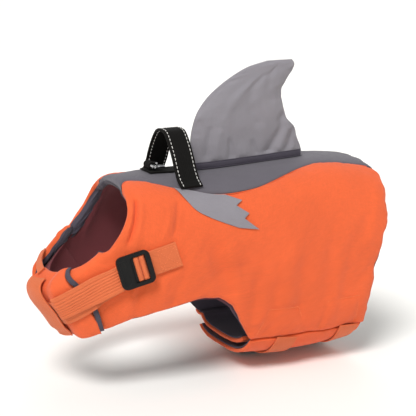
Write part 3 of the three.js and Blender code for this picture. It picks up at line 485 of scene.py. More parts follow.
def side_spot(side):
    """Places of a side panel: its share s of the length and t from the back seam to its lower edge."""
    flap_foot, leg_start, leg_v = FLAP_FOOT["u"][0], LEG_EDGE["u"][0], LEG_EDGE["v"][0]

    def foot(s):
        leg = straight(LEG_EDGE, "u", "v", s)
        if side > 0:
            return np.where(s < flap_foot, FLAP_SEAM - SEAM_V, leg)
        under = mix(UNDER_FLAP, leg_v, ramp((s - UNDER_FLAP_TO) / (leg_start - UNDER_FLAP_TO)))
        return np.where(s < leg_start, under, leg)

    return lambda s, t: along_jacket(s, side * mix(seam_at(s) + seam_gap(s), foot(s), t))


def flap_edge_at(u):
    return straight(FLAP_EDGE, "u", "v", u)


def flap_lift(v):
    return 1 - ramp((np.abs(v) - LIFT_FROM) / (LIFT_TO - LIFT_FROM))


def flap_out(u, v):
    return mix(FOAM_OUT + 0.3, flap_bed(u, v) + FLAP_LAYER + FLAP_THICK, np.where(v < 0, flap_lift(v), 0))


def flap_in(u, v):
    return mix(-FOAM_IN, flap_bed(u, v) + FLAP_LAYER, np.where(v < 0, flap_lift(v), 0))


def flap_spot(s, at):
    at = at + FLAP_FROM
    share = (at - FLAP_FROM) / (LIFT_TO - FLAP_FROM)
    seamed = np.where(at < LIFT_TO, mix(flap_edge_at(s * FLAP_EDGE["u"][-1]), LIFT_TO, share), at)
    foot = straight(FLAP_FOOT, "v", "u", round_from_spine(seamed))
    rim = straight(FLAP_RIM, "at", "u", seamed)
    return np.where(s < CUT_REACH, mix(rim, foot * CUT_REACH, s / CUT_REACH), foot * s), -seamed


def near_top(u, v):
    """Outer face of the near panel, raised where the chest flap lies on it."""
    past = (np.abs(v) - (flap_edge_at(u) - BINDING_V)) / BINDING_V
    return mix(skin(u, v), flap_out(u, v), np.where(v < 0, ramp(past + 1), 0))


def spine_u(x):
    low, high = 0.0, 1.0
    for _ in range(40):
        mid = (low + high) / 2
        if form(mid, 0.0)[0] < x:
            low = mid
        else:
            high = mid
    return (low + high) / 2


def on_back(x, y):
    """Places on the form with given X and Y."""
    x, y = np.broadcast_arrays(np.asarray(x, float), np.asarray(y, float))
    spine = np.linspace(0, 1, 101)
    u = np.interp(x, form(spine, np.zeros_like(spine))[:, 0], spine)
    v = np.zeros_like(u)
    for _ in range(12):
        p = form(u, v)
        along, across = tangents(u, v)
        det = along[..., 0] * across[..., 1] - along[..., 1] * across[..., 0]
        dx, dy = x - p[..., 0], y - p[..., 1]
        u = u + (dx * across[..., 1] - dy * across[..., 0]) / det
        v = v + (dy * along[..., 0] - dx * along[..., 1]) / det
    return u, v


def back_height(x, y):
    """Height of the outer cloth over given X and Y on the back."""
    x, y = np.broadcast_arrays(np.asarray(x, float), np.asarray(y, float))
    aim_x, aim_y = x.copy(), y.copy()
    u, v = on_back(x, y)
    for _ in range(6):
        p = place(u, v, skin(u, v))
        aim_x, aim_y = aim_x + x - p[..., 0], aim_y + y - p[..., 1]
        u, v = on_back(aim_x, aim_y)
    return place(u, v, skin(u, v))[..., 2]


# Uneven surface of sewn cloth


def drift(x, seed):
    """Soft random course between -1 and 1, with a knot at each whole number."""
    knots = np.random.RandomState(seed).uniform(-1, 1, 512)
    i = np.floor(x).astype(int)
    t = x - i
    return mix(knots[i % 512], knots[(i + 1) % 512], t * t * (3 - 2 * t))


def swell(x, y, seed):
    """Soft random surface between -1 and 1, with a knot at each whole x and y."""
    knots = np.random.RandomState(seed).uniform(-1, 1, (64, 64))
    i, j = np.floor(x).astype(int), np.floor(y).astype(int)
    a, b = x - i, y - j
    a, b = a * a * (3 - 2 * a), b * b * (3 - 2 * b)
    low = mix(knots[i % 64, j % 64], knots[(i + 1) % 64, j % 64], a)
    high = mix(knots[i % 64, (j + 1) % 64], knots[(i + 1) % 64, (j + 1) % 64], a)
    return mix(low, high, b)


def gathers(along, away, spacing, reach, depth, seed):
    """Small gathers that run away from a seam."""
    length = reach * (1 + 0.6 * drift(along / (spacing * 2.7), seed + 1))
    pull = drift(along / spacing, seed) + 0.5 * drift(along / (spacing * 0.43), seed + 2)
    return depth * pull * np.exp(-((away / length) ** 2))


# Meshes


def arcs(grid):
    """Distances along both directions of a grid of points."""
    by_row = np.zeros(grid.shape[:2])
    by_row[1:] = np.cumsum(np.linalg.norm(np.diff(grid, axis=0), axis=-1), axis=0)
    by_column = np.zeros(grid.shape[:2])
    by_column[:, 1:] = np.cumsum(np.linalg.norm(np.diff(grid, axis=1), axis=-1), axis=1)
    return by_row, by_column


def lines(length, step, edge):
    """Values from 0 to 1 for the lines of a grid, closer together at its rounded ends."""
    ends = [edge * k for k in (0.0, 0.04, 0.16, 0.36, 0.64)]
    count = max(2, round((length - 2 * edge) / step))
    middle = np.linspace(edge, length - edge, count + 1)
    return np.array([*ends, *middle, *(length - d for d in reversed(ends))]) / length


def crosswise(width, step, edge):
    """Places across a strap in millimetres, from its middle."""
    return lines(width, step, edge) * width - width / 2


def cords(w, depth=0.1, pitch=CORD_PITCH):
    """Relief of the lengthwise cords of webbing."""
    return depth * np.cos(w * 2 * np.pi / pitch)


def lengths_along(points):
    return np.concatenate([[0], np.cumsum(np.linalg.norm(np.diff(points, axis=0), axis=1))])


def edge_distances(u, v):
    """Distances in millimetres from the four edges of a grid of places."""
    by_row, by_column = arcs(form(u, v))
    return {
        "start": by_row, "end": by_row[-1:] - by_row,
        "left": by_column, "right": by_column[:, -1:] - by_column,
    }


def add_piece(name, mesh):
    """Puts a mesh in the scene with smooth faces."""
    for face in mesh.polygons:
        face.use_smooth = True
    piece = bpy.data.objects.new(name, mesh)
    bpy.context.scene.collection.objects.link(piece)
    return piece


def add_cloth_map(mesh, flat):
    """UV map of a mesh from the flat places of its points."""
    layer = mesh.uv_layers.new(name="cloth")
    corner = np.zeros(len(mesh.loops), int)
    mesh.loops.foreach_get("vertex_index", corner)
    layer.data.foreach_set("uv", flat[corner].astype(np.float32).ravel())


def clean(mesh, merge):
    """Merges the doubled points of a mesh, or turns its faces outward."""
    work = bmesh.new()
    work.from_mesh(mesh)
    if merge:
        bmesh.ops.remove_doubles(work, verts=work.verts, dist=4e-6)
        bmesh.ops.dissolve_degenerate(work, edges=work.edges, dist=1e-6)
    else:
        bmesh.ops.recalc_face_normals(work, faces=work.faces)
    work.to_mesh(mesh)
    work.free()


def closed_grid(name, outer, inner):
    """Closed mesh between two grids of points in millimetres, with its cloth lengths as a UV map."""
    rows, columns = outer.shape[:2]
    top = np.arange(rows * columns).reshape(rows, columns)
    low = top + rows * columns

    def quads(*corners):
        return np.stack([corner.ravel() for corner in corners], -1)

    faces = [
        quads(top[:-1, :-1], top[1:, :-1], top[1:, 1:], top[:-1, 1:]),
        quads(low[:-1, :-1], low[:-1, 1:], low[1:, 1:], low[1:, :-1]),
        quads(top[:-1, 0], low[:-1, 0], low[1:, 0], top[1:, 0]),
        quads(top[1:, -1], low[1:, -1], low[:-1, -1], top[:-1, -1]),
        quads(top[0, 1:], low[0, 1:], low[0, :-1], top[0, :-1]),
        quads(top[-1, :-1], low[-1, :-1], low[-1, 1:], top[-1, 1:]),
    ]
    shell = len(faces[0])
    faces = np.concatenate(faces)
    points = np.concatenate([outer.reshape(-1, 3), inner.reshape(-1, 3)]) * MM
    a, b, c, d = (points[faces[:, k]] for k in range(4))
    volume = np.einsum("ij,ij->", a, np.cross(b, c)) + np.einsum("ij,ij->", a, np.cross(c, d))
    if volume < 0:
        faces = faces[:, ::-1]
    mesh = bpy.data.meshes.new(name)
    mesh.from_pydata(points.tolist(), [], faces.tolist())
    backing = mesh.attributes.new("backing", "BOOLEAN", "FACE")
    backing.data.foreach_set("value", np.arange(len(faces)) >= shell)
    by_row, by_column = arcs(outer)
    flat = np.stack([by_column.ravel(), by_row.ravel()], -1) * MM
    add_cloth_map(mesh, np.concatenate([flat, flat]))
    clean(mesh, merge=True)
    piece = add_piece(name, mesh)
    mesh.set_sharp_from_angle(angle=SHARP_ANGLE)
    return piece


def rounded(x):
    """Profile of a rounded edge: 0 at the edge and 1 inside."""
    return np.sqrt(np.maximum(0, 1 - (1 - np.clip(x, 0, 1)) ** 2))


def panel(name, rows, columns, spot, out, inn, edges, texture=None):
    """Foam or cloth panel on the form. edges gives each edge's radius, its depth, and 1 where it is rolled."""
    s, t = np.meshgrid(rows, columns, indexing="ij")
    u, v = spot(s, t)
    away = edge_distances(u, v)
    high, low = out(u, v), inn(u, v)
    drop, rise = np.zeros(u.shape), np.zeros(u.shape)
    for key, (radius, depth, roll) in edges.items():
        lost = 1 - rounded(away[key] / radius)
        rolled = roll(u, v) if callable(roll) else roll
        full = np.where(rolled, (high - low) * 0.5, depth)
        drop = np.maximum(drop, lost * full)
        rise = np.maximum(rise, lost * np.where(rolled, full, 0))
    extra = texture(u, v, away) if texture else 0
    return closed_grid(name, place(u, v, high - drop + extra), place(u, v, low + rise))


def strip_course(line, steps):
    """Places and sideways steps of a strip that follows a line on the form."""
    count = len(line["u"])
    at = {"at": np.linspace(0, 1, count), **line}
    t = np.linspace(0, 1, steps + 1)

    def spot(x):
        return smooth(at, "at", "u", x), smooth(at, "at", "v", x)

    u, v = spot(t)
    u0, v0 = spot(np.maximum(0, t - 0.01))
    u1, v1 = spot(np.minimum(1, t + 0.01))
    along, across = tangents(u, v)
    heading = unit(form(u1, v1) - form(u0, v0))
    sideways = unit(np.cross(outward(u, v), heading))
    aa, bb = (along * along).sum(-1), (across * across).sum(-1)
    ab = (along * across).sum(-1)
    sa, sb = (sideways * along).sum(-1), (sideways * across).sum(-1)
    det = aa * bb - ab * ab
    return t, u, v, (sa * bb - sb * ab) / det, (sb * aa - sa * ab) / det


def strip(name, line, width, steps, out, inn, ribs=0, rib_depth=0.35, texture=None, edge=0.9):
    """Webbing along a line on the form, with rounded edges and lengthwise ribs."""
    t, u, v, du, dv = strip_course(line, steps)
    w = crosswise(width, 0.55 if ribs else 1.4, edge)
    uu, vv = u[:, None] + du[:, None] * w, v[:, None] + dv[:, None] * w
    high, low = out(uu, vv), inn(uu, vv)
    side = np.abs(w) - (width / 2 - edge)
    lost = (1 - rounded(1 - np.clip(side / edge, 0, 1)))[None, :]
    half = (high - low) * 0.5
    relief = 0.0
    if ribs:
        inside = np.clip((width / 2 - 1.0 - np.abs(w)) / 1.5, 0, 1)
        relief = -rib_depth * (0.5 + 0.5 * np.cos(2 * np.pi * w / width * ribs)) ** 2 * inside
        relief = np.broadcast_to(relief, uu.shape)
    if texture is not None:
        relief = relief + texture(t[:, None] + 0 * uu, w[None, :] + 0 * uu, uu, vv)
    return closed_grid(name, place(uu, vv, high - lost * half + relief), place(uu, vv, low + lost * half))


# A stitch: places along it, its rise over the cloth and its thickness there, as shares
STITCH_SIDES = 6
STITCH_PLACES = np.array([0.0, 0.2, 0.5, 0.8, 1.0])
STITCH_LIFT = np.array([-0.7, 0.3, 0.55, 0.3, -0.7])
STITCH_THICK = np.array([0.5, 0.95, 1.0, 0.95, 0.5])


def stitches(name, path, up, stitch=2.6, gap=1.2, radius=0.3):
    """Row of thread stitches along points in millimetres, each with its own round body."""
    arc = lengths_along(path)
    ring = np.arange(STITCH_SIDES)
    angle = 2 * np.pi * ring / STITCH_SIDES
    points, faces = [], []
    for k in range(int((arc[-1] + gap) // (stitch + gap))):
        at = k * (stitch + gap) + stitch * STITCH_PLACES
        spine = np.stack([np.interp(at, arc, path[:, i]) for i in range(3)], -1)
        lift = unit(np.stack([np.interp(at, arc, up[:, i]) for i in range(3)], -1))
        aside = unit(np.cross(lift, unit(spine[-1] - spine[0])))
        spine = spine + lift * (radius * STITCH_LIFT)[:, None]
        base = len(points)
        for i, thick in enumerate(radius * STITCH_THICK):
            turn = np.cos(angle)[:, None] * aside[i] + np.sin(angle)[:, None] * lift[i]
            points += list(spine[i] + thick * turn)
            if i:
                low, high = base + (i - 1) * STITCH_SIDES + ring, base + i * STITCH_SIDES + ring
                faces += np.stack([low, np.roll(low, -1), np.roll(high, -1), high], -1).tolist()
        faces.append((base + ring[::-1]).tolist())
        faces.append((base + (len(STITCH_PLACES) - 1) * STITCH_SIDES + ring).tolist())
    mesh = bpy.data.meshes.new(name)
    mesh.from_pydata([(p * MM).tolist() for p in points], [], faces)
    clean(mesh, merge=False)
    return add_piece(name, mesh)


def course(u, v, offset, step=1.0):
    """Points and outward directions along places on the form, close together."""
    u, v = np.asarray(u, float), np.asarray(v, float)
    arc = lengths_along(form(u, v))
    at = np.linspace(0, arc[-1], max(3, int(arc[-1] / step)))
    uu, vv = np.interp(at, arc, u), np.interp(at, arc, v)
    return place(uu, vv, offset(uu, vv)), outward(uu, vv)


def join(name, parts):
    """One piece of several meshes."""
    bpy.ops.object.select_all(action="DESELECT")
    for part in parts:
        part.select_set(True)
    bpy.context.view_layer.objects.active = parts[0]
    if len(parts) > 1:
        bpy.ops.object.join()
    parts[0].name = name
    parts[0].data.name = name
    parts[0].select_set(False)
    return parts[0]


# Materials


# Sockets of the Mix node when it mixes colours
MIX_A, MIX_B, MIX_COLOUR = 6, 7, 2
# The wave texture shows about 1.6 threads in a pitch at this scale
WAVE_SCALE = 0.5
THREAD_DEPTH = 0.00012
# Share of painted light in the lining, the red of light that comes through the orange cloth, from the neck
# back, along X in metres
THROUGH_LIGHT_SHARE = {"From Min": -0.075, "From Max": -0.02, "To Min": 1.0, "To Max": 0.0}


class Finish:
    """One procedural material, its nodes added step by step."""

    def __init__(self, name, colour, roughness, **sockets):
        self.material = bpy.data.materials.new(name)
        self.material.use_nodes = True
        self.tree = self.material.node_tree
        self.shader = self.tree.nodes["Principled BSDF"]
        self.shader.inputs["Roughness"].default_value = roughness
        self.shader.inputs["Base Color"].default_value = colour
        for socket, value in sockets.items():
            self.shader.inputs[socket.replace("_", " ")].default_value = value
        self.colour = colour
        self.first_tint = None
        self.bump_from = None

    def node(self, kind, **settings):
        made = self.tree.nodes.new(kind)
        for key, value in settings.items():
            if key in made.inputs:
                made.inputs[key].default_value = value
            else:
                setattr(made, key, value)
        return made

    def link(self, source, target):
        self.tree.links.new(source, target)

    def place(self, cloth):
        if cloth:
            return self.node("ShaderNodeUVMap", uv_map="cloth").outputs["UV"]
        return self.node("ShaderNodeTexCoord").outputs["Object"]

    def noise(self, size, cloth=False, detail=3.0, roughness=0.55, stretch=None):
        """Noise with features of a size in metres."""
        made = self.node("ShaderNodeTexNoise", Scale=1 / size, Detail=detail, Roughness=roughness)
        source = self.place(cloth)
        if stretch:
            mapping = self.node("ShaderNodeMapping")
            mapping.inputs["Scale"].default_value = stretch
            self.link(source, mapping.inputs["Vector"])
            source = mapping.outputs["Vector"]
        self.link(source, made.inputs["Vector"])
        return made.outputs["Fac"]

    def wave(self, pitch, direction):
        made = self.node("ShaderNodeTexWave", Scale=WAVE_SCALE / pitch, bands_direction=direction)
        self.link(self.place(cloth=True), made.inputs["Vector"])
        return made.outputs["Fac"]

    def product(self, *factors):
        made = self.node("ShaderNodeMath", operation="MULTIPLY")
        for factor, socket in zip(factors, made.inputs):
            self.link(factor, socket)
        return made.outputs["Value"]

    def tint(self, factor, low, high):
        """Multiplies the base colour by a value between low and high."""
        share = self.node("ShaderNodeMapRange", **{"To Min": low, "To Max": high})
        self.link(factor, share.inputs["Value"])
        mixed = self.node("ShaderNodeMix", data_type="RGBA", blend_type="MULTIPLY", Factor=1.0)
        base = self.shader.inputs["Base Color"]
        if base.is_linked:
            self.link(base.links[0].from_socket, mixed.inputs[MIX_A])
        else:
            mixed.inputs[MIX_A].default_value = self.colour
            self.first_tint = mixed
        grey = self.node("ShaderNodeCombineColor")
        for channel in ("Red", "Green", "Blue"):
            self.link(share.outputs["Result"], grey.inputs[channel])
        self.link(grey.outputs["Color"], mixed.inputs[MIX_B])
        self.link(mixed.outputs[MIX_COLOUR], base)

    def bump(self, height, depth, strength=1.0):
        """Adds relief of a depth in metres."""
        made = self.node("ShaderNodeBump", Strength=strength, Distance=depth)
        self.link(height, made.inputs["Height"])
        if self.bump_from is not None:
            self.link(self.bump_from, made.inputs["Normal"])
        self.bump_from = made.outputs["Normal"]
        self.link(self.bump_from, self.shader.inputs["Normal"])


def linear(colour):
    return tuple((c / 12.92 if c <= 0.04045 else ((c + 0.055) / 1.055) ** 2.4) for c in colour[:3]) + (1.0,)


def woven(name, colour, pitch, sheen=0.12, roughness=0.8, broad=0.1, slub=0.09):
    """Plain woven polyester cloth with a fine grid of threads."""
    made = Finish(name, linear(colour), roughness, Sheen_Weight=sheen, Sheen_Roughness=0.5,
                  Specular_IOR_Level=0.25)
    grid = made.product(made.wave(pitch, "X"), made.wave(pitch, "Y"))
    made.tint(made.noise(0.055, detail=2), 1 - broad, 1 + broad)
    made.tint(made.noise(0.0022, cloth=True, detail=3, stretch=(1, 0.3, 1)), 1 - slub, 1 + slub)
    made.tint(made.noise(0.0016, cloth=True, detail=3, stretch=(0.25, 1, 1)), 1 - slub, 1 + slub)
    made.tint(grid, 0.9, 1.07)
    made.bump(made.noise(0.014, detail=4, roughness=0.5), 0.0006, 0.5)
    made.bump(made.noise(0.0012, cloth=True, detail=2), THREAD_DEPTH, 0.6)
    made.bump(grid, THREAD_DEPTH, 0.7)
    return made


def webbing(name, colour, roughness=0.7, pitch=0.0014, tone=0.12, sheen=0.12, gloss=0.3):
    """Flat woven webbing: fine crosswise picks under lengthwise cords."""
    made = Finish(name, linear(colour), roughness, Sheen_Weight=sheen, Sheen_Roughness=0.4,
                  Specular_IOR_Level=gloss)
    weave = made.product(made.wave(pitch, "Y"), made.wave(pitch * 0.9, "X"))
    made.tint(made.noise(0.03, detail=2), 1 - tone, 1 + tone * 0.5)
    made.tint(weave, 0.86, 1.06)
    made.tint(made.noise(0.0012, cloth=True, detail=3), 0.92, 1.06)
    made.bump(weave, 0.00018, 0.7)
    made.bump(made.noise(0.0006, cloth=True, detail=2), 0.00008, 0.5)
    return made


def moulded(name, colour):
    """Moulded nylon with a fine spark finish."""
    made = Finish(name, linear(colour), 0.42, Specular_IOR_Level=0.25)
    made.tint(made.noise(0.012, detail=3), 0.85, 1.25)
    made.bump(made.noise(0.0005, detail=2), 0.00003, 0.5)
    return made


def paint_light_through_lining(lining, light_through):
    """Paints light that comes through the orange cloth into the lining's colour: redder towards the neck."""
    axes = lining.node("ShaderNodeSeparateXYZ")
    lining.link(lining.place(cloth=False), axes.inputs["Vector"])
    share = lining.node("ShaderNodeMapRange", interpolation_type="SMOOTHSTEP", **THROUGH_LIGHT_SHARE)
    lining.link(axes.outputs["X"], share.inputs["Value"])
    mixed = lining.node("ShaderNodeMix", data_type="RGBA")
    mixed.inputs[MIX_A].default_value = lining.colour
    mixed.inputs[MIX_B].default_value = light_through
    lining.link(share.outputs["Result"], mixed.inputs["Factor"])
    lining.link(mixed.outputs[MIX_COLOUR], lining.first_tint.inputs[MIX_A])


def make_materials(looks):
    """All finishes of the jacket."""
    made = {
        "orange": woven("orange_cloth", looks.orange, pitch=0.0008),
        "back": woven("back_cloth", looks.back, pitch=0.0007, sheen=0.15, roughness=0.68, slub=0.06),
        "fin": woven("fin_cloth", looks.fin, pitch=0.0006, sheen=0.2, roughness=0.58, broad=0.08, slub=0.05),
        "facing": woven("facing_cloth", looks.facing, pitch=0.0006, sheen=0.15, roughness=0.65, slub=0.05),
        "lining": woven("lining_cloth", looks.lining, pitch=0.0009, sheen=0.1, roughness=0.75, slub=0.05),
        "webbing": webbing("orange_webbing", looks.webbing),
        "black_webbing": webbing("black_webbing", looks.black, roughness=0.8, tone=0.2, sheen=0.02, gloss=0.12),
        "plastic": moulded("black_plastic", looks.plastic),
        "thread": webbing("white_thread", (0.95, 0.94, 0.92), pitch=0.0005, tone=0.05),
        "orange_thread": webbing("orange_thread", (0.96, 0.52, 0.32), pitch=0.0005, tone=0.05),
        "steel": Finish("ring_steel", (0.72, 0.73, 0.75, 1), 0.16, Metallic=1.0),
    }
    steel = made["steel"]
    steel.tint(steel.noise(0.008, detail=3), 0.85, 1.08)
    steel.bump(steel.noise(0.0007, detail=2), 0.00001, 0.25)
    # Painted light: the lining turns red towards the neck, where light comes through the orange cloth.
    paint_light_through_lining(made["lining"], linear(looks.lining_lit_through))
    return {key: finish.material for key, finish in made.items()}


MATERIALS = {}


def dress(piece, finish, body="jacket", replaces=(), backing=None):
    """Gives a piece its finish, that of its back, its body and what it is."""
    piece.data.materials.clear()
    piece.data.materials.append(MATERIALS[finish])
    if backing:
        piece.data.materials.append(MATERIALS[backing])
        at_back = np.zeros(len(piece.data.polygons), bool)
        piece.data.attributes["backing"].data.foreach_get("value", at_back)
        piece.data.polygons.foreach_set("material_index", at_back.astype(np.int32))
    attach(piece, body)
    if replaces:
        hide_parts(*replaces)
    return piece


# Back panel, sides and linings

BOX_STITCHES = (
    table("u v", (0.7, 0.708), (0.713, 0.627), (0.786, 0.625), (0.824, 0.712)),
    table("u v", (0.857, 0.712), (0.865, 0.62), (0.956, 0.623), (0.966, 0.718)),
)


SIDES = ((-1, "left"), (1, "right"))


def sunk(u, v):
    return skin(u, v) - STITCH_SINK


def away_from(line, u, v):
    """Distances in millimetres from a line on the form."""
    least = np.full(np.broadcast(u, v).shape, 1000.0)
    for k in range(len(line["u"]) - 1):
        a, b = line["u"][k], line["v"][k]
        dx, dy = (line["u"][k + 1] - a) * U_LENGTH, (line["v"][k + 1] - b) * V_LENGTH
        px, py = (u - a) * U_LENGTH, (v - b) * V_LENGTH
        t = np.clip((px * dx + py * dy) / (dx * dx + dy * dy), 0, 1)
        least = np.minimum(least, np.hypot(px - t * dx, py - t * dy))
    return least


def stitch_groove(u, v):
    """Shallow groove where the belly straps are sewn behind the side panels."""
    w = round_from_spine(v)
    return sum(-0.9 * np.exp(-((away_from(line, u, w) / 1.8) ** 2)) for line in BOX_STITCHES)


def free_of_webbing(u, v):
    """Keeps the cloth flat under the webbing of the neck and chest."""
    lines_on = (ANCHOR_LINE, STRAP_LINE, BASE_LINE, KEEPER_LINE)
    near = np.min([away_from(line, u, v) for line in lines_on], axis=0)
    return ramp((near - STRAP_CLEAR) / STRAP_FADE)


def cloth_relief(seed):
    """Uneven surface of a side panel: creases, gathers at its seams and slack in its cloth."""
    def texture(u, v, away):
        w = round_from_spine(v)
        creases = line_depth(CREASES, side_of(v), u, w)
        along, across = away["start"], away["left"]
        seam = gathers(along, across, 8, 10, 0.55, seed)
        foot = gathers(along + 40, away["right"], 11, 15, 0.8, seed + 5)
        rear = gathers(across, away["end"], 12, 13, 1.2, seed + 9)
        neck = gathers(across + 20, away["start"], 10, 9, 0.7, seed + 14)
        slack = 0.9 * swell(along / 34, across / 46, seed + 20)
        slack = slack + 0.3 * swell(along / 13, across / 19, seed + 21)
        slack = slack + 0.1 * swell(along / 5, across / 7, seed + 22)
        return (creases + seam + foot + rear + neck + slack) * free_of_webbing(u, v) + stitch_groove(u, v)
    return texture


def make_box_stitches():
    """Stitch lines that hold the ends of the belly straps behind the side panels."""
    for side, name in SIDES:
        parts = []
        for k, line in enumerate(BOX_STITCHES):
            path, up = course(line["u"], side * line["v"], sunk, step=0.8)
            parts.append(stitches(f"box_stitch_{name}_{k}", path, up, stitch=2.4, gap=0.9, radius=0.36))
        dress(join(f"box_stitches_{name}", parts), "orange_thread")


def make_side(side, name, seed):
    rows = lines(290, 1.8, 5)
    columns = lines(165, 1.8, 4)

    def sewn_foot(u, v):
        return np.where((v > 0) & (u < SEWN_TO), 0.0, 1.0)

    edges = {
        "start": (6.0, 0, 1.0),
        "end": (6.5, 0, 1.0),
        "left": (4.0, 1.3, 0.0),
        "right": (4.5, 1.3, sewn_foot),
    }
    relief = cloth_relief(seed)
    piece = panel(f"side_{name}_cloth", rows, columns, side_spot(side), skin, foam_back, edges, relief)
    return dress(piece, "orange", replaces=[f"side_{name}"], backing="facing")


def make_back():
    rows = lines(292, 1.8, 5)
    columns = lines(112, 1.8, 3.5)

    def texture(u, v, away):
        along, across = away["start"], away["left"]
        seams = gathers(along, across, 7, 8, 0.35, 301) + gathers(along, away["right"], 7.5, 8, 0.35, 305)
        rims = gathers(across, along, 9, 9, 0.5, 311) + gathers(across, away["end"], 11, 10, 0.5, 315)
        return seams + rims + 0.3 * swell(along / 30, across / 22, 320)

    edges = {"start": (6.0, 0, 1.0), "end": (6.5, 0, 1.0), "left": (4.0, 1.3, 0.0), "right": (4.0, 1.3, 0.0)}
    piece = panel("back_cloth", rows, columns, back_spot, skin, foam_back, edges, texture)
    return dress(piece, "back", replaces=["back_panel"], backing="facing")


def thin_layer(name, rows, columns, spot, top, thick, texture=None, edge=0.6):
    """Single cloth at a depth under the form, the same folds on both of its faces."""
    s, t = np.meshgrid(rows, columns, indexing="ij")
    u, v = spot(s, t)
    away = edge_distances(u, v)
    shift = texture(u, v, away) if texture else np.zeros(u.shape)
    nearest = np.minimum(np.minimum(away["start"], away["end"]), np.minimum(away["left"], away["right"]))
    lost = (1 - rounded(nearest / edge)) * thick / 2
    high = top(u, v) if callable(top) else top
    return closed_grid(name, place(u, v, high + shift - lost), place(u, v, high - thick + shift + lost))


def lining_waves(seed, depth=0.9):
    def texture(u, v, away):
        along, across = away["start"], away["left"]
        broad, fine = swell(along / 40, across / 26, seed), swell(along / 17, across / 12, seed + 1)
        return -np.abs(depth * broad + 0.4 * depth * fine)
    return texture


LINING_SHOWS = 0.01

# Each lining's side, width in millimetres, flat size and cut area in metres
LININGS = (
    ("back", 0, 110, (0.27, 0.112), 0.0233),
    ("left", -1, 165, (0.27, 0.2), 0.047),
    ("right", 1, 150, (0.27, 0.175), 0.0449),
)


def lining_spot(side):
    """Places of a side's lining, which shows past the leg edge."""
    def spot(s, t):
        u, v = side_spot(side)(s, t)
        if side < 0:
            past = ramp((s - 0.25) / 0.05) * ramp((0.66 - s) / 0.03)
        else:
            past = ramp((s - 0.38) / 0.05) * 1.3
        return u, v + side * LINING_SHOWS * past * ramp((t - 0.6) / 0.4)
    return spot


def make_linings():
    rows = mix(0.06, 1.0, lines(272, 3.2, 0.6))
    for k, (name, side, width, flat, area) in enumerate(LININGS):
        piece = thin_layer(
            f"lining_{name}_cloth", rows, lines(width, 3.2, 0.6), lining_spot(side) if side else back_spot,
            -FOAM_IN - GAP, LINING, lining_waves(400 + 7 * k),
        )
        dress(piece, "lining", replaces=[f"lining_{name}"])


def make_facing():
    """Gathered facing inside the neck, turned round its rim to the orange cloth."""
    rows = mix(FACING["from"], FACING["to"], lines(24, 0.8, 0.5))
    columns = mix(-UNDER_FLAP, FLAP_SEAM + FACING["past_seam"], lines(390, 1.1, 0.6))

    def top(u, v):
        inside = (u - neck_rim(v)) * U_LENGTH
        return -FOAM_IN - GAP - FACING["below"] + FACING["rise"] * (1 - rounded(inside / FACING["turn"]))

    def texture(u, v, away):
        across = away["left"]
        folds = drift(across / 6.5, 501) + 0.6 * drift(across / 2.9, 502)
        inside = ramp((away["start"] - 2) / 6) * ramp(away["end"] / 7)
        return -1.7 * np.abs(folds) * inside - 0.25 * np.abs(drift(across / 1.9, 503)) * inside

    piece = thin_layer("neck_facing_cloth", rows, columns, along_jacket, top, LINING, texture)
    dress(piece, "facing", replaces=["neck_facing"])


def make_piping():
    """Narrow orange edge of the side panels along the seams of the back."""
    u = np.linspace(0.02, 0.985, 90)
    for side, name in SIDES:
        path, up = course(u, side * (seam_at(u) + seam_gap(u) + 0.001), sunk, step=1.6)
        dress(tube(f"seam_piping_{name}", path, up, 0.55, 8), "orange")


def tube(name, path, up, radius, sides):
    """Closed round tube along points in millimetres."""
    heading = unit(np.gradient(path, axis=0))
    aside = unit(np.cross(up, heading))
    lift = unit(np.cross(heading, aside))
    angle = np.linspace(0, 2 * np.pi, sides, endpoint=False)
    turn = np.cos(angle)[:, None] * aside[:, None] + np.sin(angle)[:, None] * lift[:, None]
    index = np.arange(len(path) * sides).reshape(-1, sides)
    after = np.roll(index, -1, axis=1)
    faces = np.stack([index[:-1], after[:-1], after[1:], index[1:]], -1).reshape(-1, 4).tolist()
    faces += [index[0][::-1].tolist(), index[-1].tolist()]
    mesh = bpy.data.meshes.new(name)
    mesh.from_pydata(((path[:, None] + radius * turn).reshape(-1, 3) * MM).tolist(), [], faces)
    flat = np.stack(np.meshgrid(lengths_along(path), angle * radius, indexing="ij"), -1)
    add_cloth_map(mesh, flat.reshape(-1, 2)[:, ::-1] * MM)
    clean(mesh, merge=False)
    return add_piece(name, mesh)


# Chest


